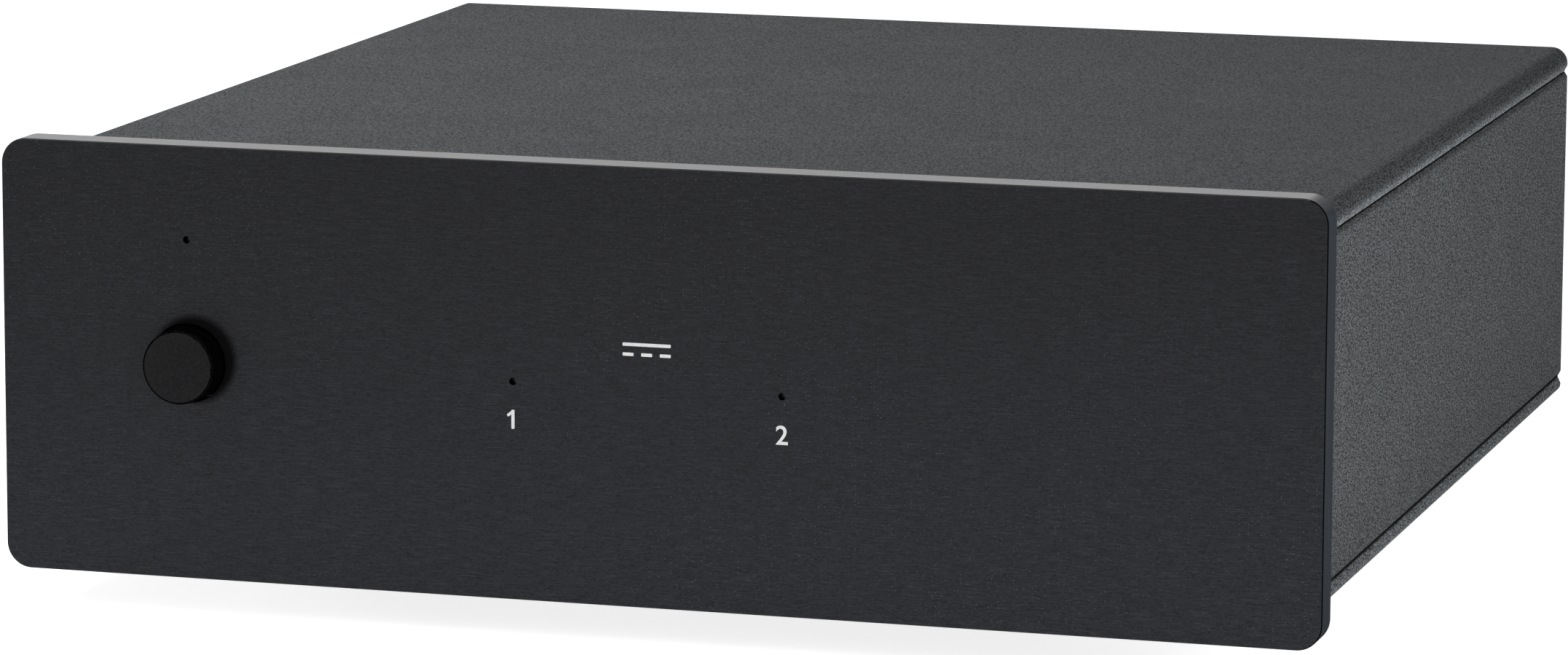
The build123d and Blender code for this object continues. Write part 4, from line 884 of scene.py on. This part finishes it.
def makeDigit(text, place, surface, outward):
    # a printed digit; outward is -1 on the front and 1 on the rear
    selectNothing()
    bpy.ops.object.text_add()
    digit = bpy.context.object
    digit.data.body = text
    digit.data.align_x = "CENTER"
    digit.data.extrude = marks["digitExtrude"]
    digit.data.offset = marks["digitBold"]
    bpy.ops.object.convert(target="MESH")
    digit = bpy.context.object
    tall = max(v.co.y for v in digit.data.vertices) - min(v.co.y for v in digit.data.vertices)
    size = marks["digitHeight"] / tall
    digit.scale = (size, size, marks["thickness"] / (2 * marks["digitExtrude"]))
    digit.rotation_euler = (math.pi / 2, 0, math.pi if outward > 0 else 0)
    depth = surface + outward * marks["thickness"] / 2
    digit.location = (place[0], depth, place[1] - marks["digitHeight"] / 2)
    setIntoMesh(digit)
    return digit


def makeStroke(place, size, surface, outward=-1, slope=0.0):
    # a printed bar, its size across and high, turned by its slope in degrees
    selectNothing()
    middle = Vector((place[0], surface + outward * marks["thickness"] / 2, place[1]))
    bpy.ops.mesh.primitive_cube_add(size=1, location=middle, scale=(size[0], marks["thickness"], size[1]))
    stroke = bpy.context.object
    setIntoMesh(stroke)
    pick(stroke, "EDGE", alongDepth)
    bpy.ops.mesh.bevel(offset=marks["strokeCorner"], segments=2, affect="EDGES")
    bpy.ops.mesh.select_all(action="SELECT")
    bpy.ops.transform.rotate(value=math.radians(slope), orient_axis="Y", center_override=middle)
    bpy.ops.object.mode_set(mode="OBJECT")
    return stroke


def makeOne(place, surface, outward):
    # a plain 1: an upright stroke and a slanted one from its top, to the reader's left
    x, z = place
    length, slope, thinness = marks["flag"]
    across = length / 2 * math.cos(math.radians(slope))
    down = length / 2 * math.sin(math.radians(slope))
    top = z + marks["digitHeight"] / 2 - marks["stroke"] / 2
    upright = makeStroke(place, (marks["stroke"], marks["digitHeight"]), surface, outward)
    flagPlace = (x + outward * across, top - down)
    flagSize = (length, marks["stroke"] * thinness)
    flag = makeStroke(flagPlace, flagSize, surface, outward, -outward * slope)
    return combine(upright, [flag], "UNION")


def printInk():
    finish = Finish("palePrint", 0.6, specular=0.3)
    wear = finish.noise(2500.0)
    finish.colour(finish.ramp(wear, (0.25, marks["wornColour"]), (0.5, marks["colour"])))
    return finish.material


def makeMarks():
    ink = printInk()
    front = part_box("front_panel")[0].y
    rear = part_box("rear_panel")[1].y
    drawn = [makeOne(marks["frontOne"], front, -1), makeDigit("2", marks["frontTwo"], front, -1)]
    x, z = marks["directSign"]
    drawn.append(makeStroke((x, z + marks["signRise"] / 2), (marks["signWidth"], marks["stroke"]), front))
    dash = marks["signWidth"] / (1 + 2 * marks["dashPitch"])
    for step in (-1, 0, 1):
        dashPlace = (x + step * dash * marks["dashPitch"], z - marks["signRise"] / 2)
        drawn.append(makeStroke(dashPlace, (dash, marks["stroke"]), front))
    frontMarks = joined(drawn)
    frontMarks.name = "frontMarks"
    rearMarks = joined([makeOne(marks["rearOne"], rear, 1), makeDigit("2", marks["rearTwo"], rear, 1)])
    rearMarks.name = "rearMarks"
    for piece in (frontMarks, rearMarks):
        piece.data.materials.clear()
        piece.data.materials.append(ink)
        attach(piece, "case")


makeMarks()
print("marks printed")

plainFinishes = {
    # name: (colour, roughness, metallic, specular, grain per metre, share of grain, nodes)
    "zincPlatedSteel": ((0.56, 0.57, 0.58), 0.36, 1.0, 0.5, 900.0, 0.16, (
        "front_frame", "foot_screws", "small_nuts", "short_screws", "front_board_spacers", "earth_stud",
        "earth_nut", "transformer_dish", "transformer_bolt", "transformer_nut", "board_spacers")),
    "blackOxideSteel": ((0.030, 0.030, 0.032), 0.42, 0.6, 0.4, 1600.0, 0.35, (
        "case_screws", "inlet_screws")),
    "mouldedBlackPlastic": ((0.020, 0.020, 0.022), 0.55, 0.0, 0.35, 2600.0, 0.35, (
        "switch_body", "ribbon_headers", "mains_inlet", "fuse_drawer", "bridge_rectifiers", "regulators",
        "dc_sockets")),
    "naturalNylonMoulding": ((0.78, 0.76, 0.70), 0.45, 0.0, 0.4, 700.0, 0.06, (
        "switch_plunger", "lead_headers")),
    "nickelPlatedBrass": ((0.74, 0.72, 0.66), 0.28, 1.0, 0.5, 1400.0, 0.14, (
        "inlet_pins", "fuse_caps", "fuse_contacts", "earth_terminal", "fuse_clips", "dc_socket_pins",
        "dc_socket_nuts")),
    "greyRubberPad": ((0.10, 0.10, 0.10), 0.85, 0.0, 0.2, 1500.0, 0.25, ("transformer_pads",)),
    "yellowFilmBox": ((0.80, 0.58, 0.12), 0.30, 0.0, 0.5, 500.0, 0.05, ("film_capacitors",)),
    "blueRelayCover": ((0.03, 0.16, 0.48), 0.28, 0.0, 0.5, 600.0, 0.08, ("relays",)),
    "greenTerminalBlock": ((0.06, 0.32, 0.12), 0.40, 0.0, 0.45, 900.0, 0.10, ("mains_terminal",)),
    "brownLeadSleeve": ((0.16, 0.065, 0.025), 0.42, 0.0, 0.45, 900.0, 0.12, ("mains_leads",)),
    "redLeadSleeve": ((0.52, 0.035, 0.025), 0.40, 0.0, 0.45, 900.0, 0.10, (
        "primary_leads", "secondary_leads")),
    "blackLeadSleeve": ((0.018, 0.018, 0.019), 0.42, 0.0, 0.45, 900.0, 0.20, ("output_leads",)),
}


def plainFinish(name, colour, roughness, metallic, specular, scale, share):
    finish = Finish(name, roughness, metallic, specular)
    grain = finish.noise(scale, detail=3.0)
    finish.colour(finish.scaled(colour, finish.fit(grain, 0.3, 0.7, 1 - share, 1 + share)))
    return finish.material


for finishName, (*values, names) in plainFinishes.items():
    dress(plainFinish(finishName, *values), *names)
print("plain finishes given")

boards = {
    "mask": (0.012, 0.105, 0.042),
    "copper": (0.022, 0.165, 0.066),
    "trackPitch": 2.54 * mm,
    "cellPitches": 4,  # track pitches to a cell of the pattern
    "ringStep": 0.09,
    "trackEdge": (0.030, 0.038),
    "grain": 900.0,
    "grainRange": (0.3, 0.7, 0.92, 1.08),
    "trackDepth": 0.04 * mm,
    "roughness": 0.32,
}


def boardFinish():
    # solder mask over raised tracks, which run in square rings
    finish = Finish("greenSolderMask", boards["roughness"])
    cells = finish.add("ShaderNodeTexVoronoi", distance="CHEBYCHEV", feature="F1")
    cells.inputs["Scale"].default_value = 1 / (boards["cellPitches"] * boards["trackPitch"])
    finish.link(finish.coordinates, cells.inputs["Vector"])
    rings = finish.calculate("PINGPONG", cells.outputs["Distance"], boards["ringStep"])
    tracks = finish.fit(rings, *boards["trackEdge"])
    face = finish.mix(tracks, boards["mask"], boards["copper"])
    speckle = finish.fit(finish.noise(boards["grain"], detail=3.0), *boards["grainRange"])
    finish.colour(finish.scaled(face, speckle))
    finish.bump(tracks, boards["trackDepth"])
    return finish.material


dress(boardFinish(), "front_board", "main_board")

toroid = {
    "middle": (-42.0 * mm, -8.175 * mm),
    "strands": 150,
    "wire": (0.50, 0.20, 0.045),
    "shadow": (0.20, 0.070, 0.015),
    "tape": (0.62, 0.40, 0.14),
    "tapeShare": 0.55,  # how much of its colour shows along the edge of a lap
    "turns": 24,
    "wobble": 0.15,
    "strandDepth": 0.15 * mm,
    "steel": ((0.15, 0.15, 0.16), (0.34, 0.34, 0.35)),
    "strips": (1400.0, 0.4),  # scale and distortion of the rings on the core
}


def aroundToroid(finish):
    # 0 to 1 around the middle of the transformer
    node = finish.add("ShaderNodeTexGradient", gradient_type="RADIAL")
    x, y = toroid["middle"]
    finish.link(finish.mapped(place=(-x, -y, 0)), node.inputs["Vector"])
    return node.outputs["Fac"]


def windingFinish():
    finish = Finish("enamelledWireUnderTape", 0.30, Coat_Weight=0.5)
    angle = aroundToroid(finish)
    wobble = finish.fit(finish.noise(90.0), 0.3, 0.7, -toroid["wobble"], toroid["wobble"])
    turned = finish.times(angle, toroid["strands"] * math.tau)
    strands = finish.calculate("SINE", finish.calculate("ADD", turned, wobble))
    wire = finish.mix(finish.fit(strands, -0.9, 0.6), toroid["shadow"], toroid["wire"])
    laps = finish.calculate("FRACT", finish.times(angle, toroid["turns"]))
    edge = finish.times(finish.fit(laps, 0.90, 0.94), toroid["tapeShare"])
    finish.colour(finish.mix(edge, wire, toroid["tape"]))
    finish.bump(strands, toroid["strandDepth"])
    return finish.material


def coreFinish():
    finish = Finish("woundSteelStrip", 0.38, metallic=0.9)
    x, y = toroid["middle"]
    rings = finish.add("ShaderNodeTexWave", wave_type="RINGS", rings_direction="Z")
    rings.inputs["Scale"].default_value, rings.inputs["Distortion"].default_value = toroid["strips"]
    finish.link(finish.mapped(place=(-x, -y, 0)), rings.inputs["Vector"])
    dark, light = toroid["steel"]
    finish.colour(finish.ramp(rings.outputs["Fac"], (0.2, dark), (0.8, light)))
    return finish.material


dress(windingFinish(), "transformer_winding")
dress(coreFinish(), "transformer_core")
print("transformer dressed")

cans = {
    "sleeve": (0.012, 0.016, 0.040),
    "stripe": (0.30, 0.34, 0.42),
    "top": (0.55, 0.55, 0.56),
    "topRange": (0.90, 0.95),  # how far up a face looks, where the bare top begins and is full
    "bands": 250.0,  # to a metre
    "bandRange": (0.90, 0.93),
    "bandShare": 0.25,
    "roughness": 0.32,
}


def canFinish():
    # dark sleeve with faint pale bands, and a plain aluminium top
    finish = Finish("sleevedCapacitorCan", cans["roughness"])
    up = finish.fit(finish.axis(finish.normal, "Z"), *cans["topRange"])
    height = finish.times(finish.axis(finish.coordinates, "Z"), cans["bands"])
    band = finish.fit(finish.calculate("FRACT", height), *cans["bandRange"])
    grain = finish.fit(finish.noise(800.0), 0.3, 0.7, 0.9, 1.1)
    side = finish.mix(finish.times(band, cans["bandShare"]), cans["sleeve"], cans["stripe"])
    finish.colour(finish.scaled(finish.mix(up, side, cans["top"]), grain))
    finish.link(up, finish.shader.inputs["Metallic"])
    return finish.material


stripes = {
    # node: (finish, direction, pitch, first and second colour, roughness, share of the first, specular)
    "ribbon_cable": (
        "flatRibbonGrey", "X", 1.27 * mm, (0.46, 0.46, 0.47), (0.26, 0.26, 0.27), 0.5, 0.8, 0.45),
    "resistors": (
        "lacqueredResistorBlue", "Y", 1.3 * mm, (0.20, 0.38, 0.62), (0.42, 0.16, 0.05), 0.32, 0.75, 0.45),
    "earth_lead": (
        "earthLeadSleeve", "Z", 7.0 * mm, (0.10, 0.40, 0.06), (0.75, 0.62, 0.05), 0.42, 0.5, 0.45),
    "heatsinks": (
        "extrudedBlackFins", "X", 0.5 * mm, (0.020, 0.020, 0.021), (0.034, 0.034, 0.036), 0.45, 0.5, 0.4),
}


def stripedFinish(name, direction, pitch, first, second, roughness, share, specular):
    # even stripes across one direction; the added metre keeps every place above 0
    finish = Finish(name, roughness, specular=specular)
    place = finish.calculate("ADD", finish.axis(finish.coordinates, direction), 1.0)
    wave = finish.calculate("FRACT", finish.times(place, 1 / pitch))
    blur = 0.06
    finish.colour(finish.mix(finish.fit(wave, share - blur, share + blur), first, second))
    return finish.material


clear = {
    "haze": 400.0,
    "glassIndex": 1.5,
    "glassLift": 1.05,  # how much lighter the haze is than the colour
    "fuseTube": ((0.92, 0.95, 0.95), 0.03),  # colour and roughness
    "lampLens": ((0.30, 0.48, 0.90), 0.15),
    "pipeIndex": 1.49,
    "pipeRoughness": 0.45,
    "pipeDark": (0.05, 0.06, 0.08),
    "pipeLight": (0.06, 0.07, 0.09),
    "pipeShadeInPanel": (0.0003, 0.0003, 0.0004),
}


def glassFinish(name, colour, roughness):
    finish = Finish(name, roughness, Transmission_Weight=1.0, IOR=clear["glassIndex"])
    lighter = tuple(min(1.0, part * clear["glassLift"]) for part in colour)
    finish.colour(finish.ramp(finish.noise(clear["haze"]), (0.3, colour), (0.7, lighter)))
    return finish.material


def pipeFinish():
    # smoked, and painted black as shade where it sits in the panel, so that an unlit lamp's pinhole looks
    # empty
    finish = Finish(
        "smokedLightPipe", clear["pipeRoughness"], specular=0.0,
        Transmission_Weight=1.0, IOR=clear["pipeIndex"],
    )
    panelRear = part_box("front_panel")[1].y
    depth = finish.fit(finish.axis(finish.coordinates, "Y"), panelRear - mm, panelRear)
    haze = finish.noise(clear["haze"])
    smoke = finish.ramp(haze, (0.3, clear["pipeDark"]), (0.7, clear["pipeLight"]))
    finish.colour(finish.mix(depth, clear["pipeShadeInPanel"], smoke))
    return finish.material


dress(canFinish(), "reservoir_capacitors", "output_capacitors")
for stripedNode, values in stripes.items():
    dress(stripedFinish(*values), stripedNode)
dress(glassFinish("fuseTubeGlass", *clear["fuseTube"]), "fuse_tubes", "board_fuse")
dress(pipeFinish(), "light_pipes")
dress(glassFinish("tintedLampLens", *clear["lampLens"]), "status_lamps")
print("inside dressed")
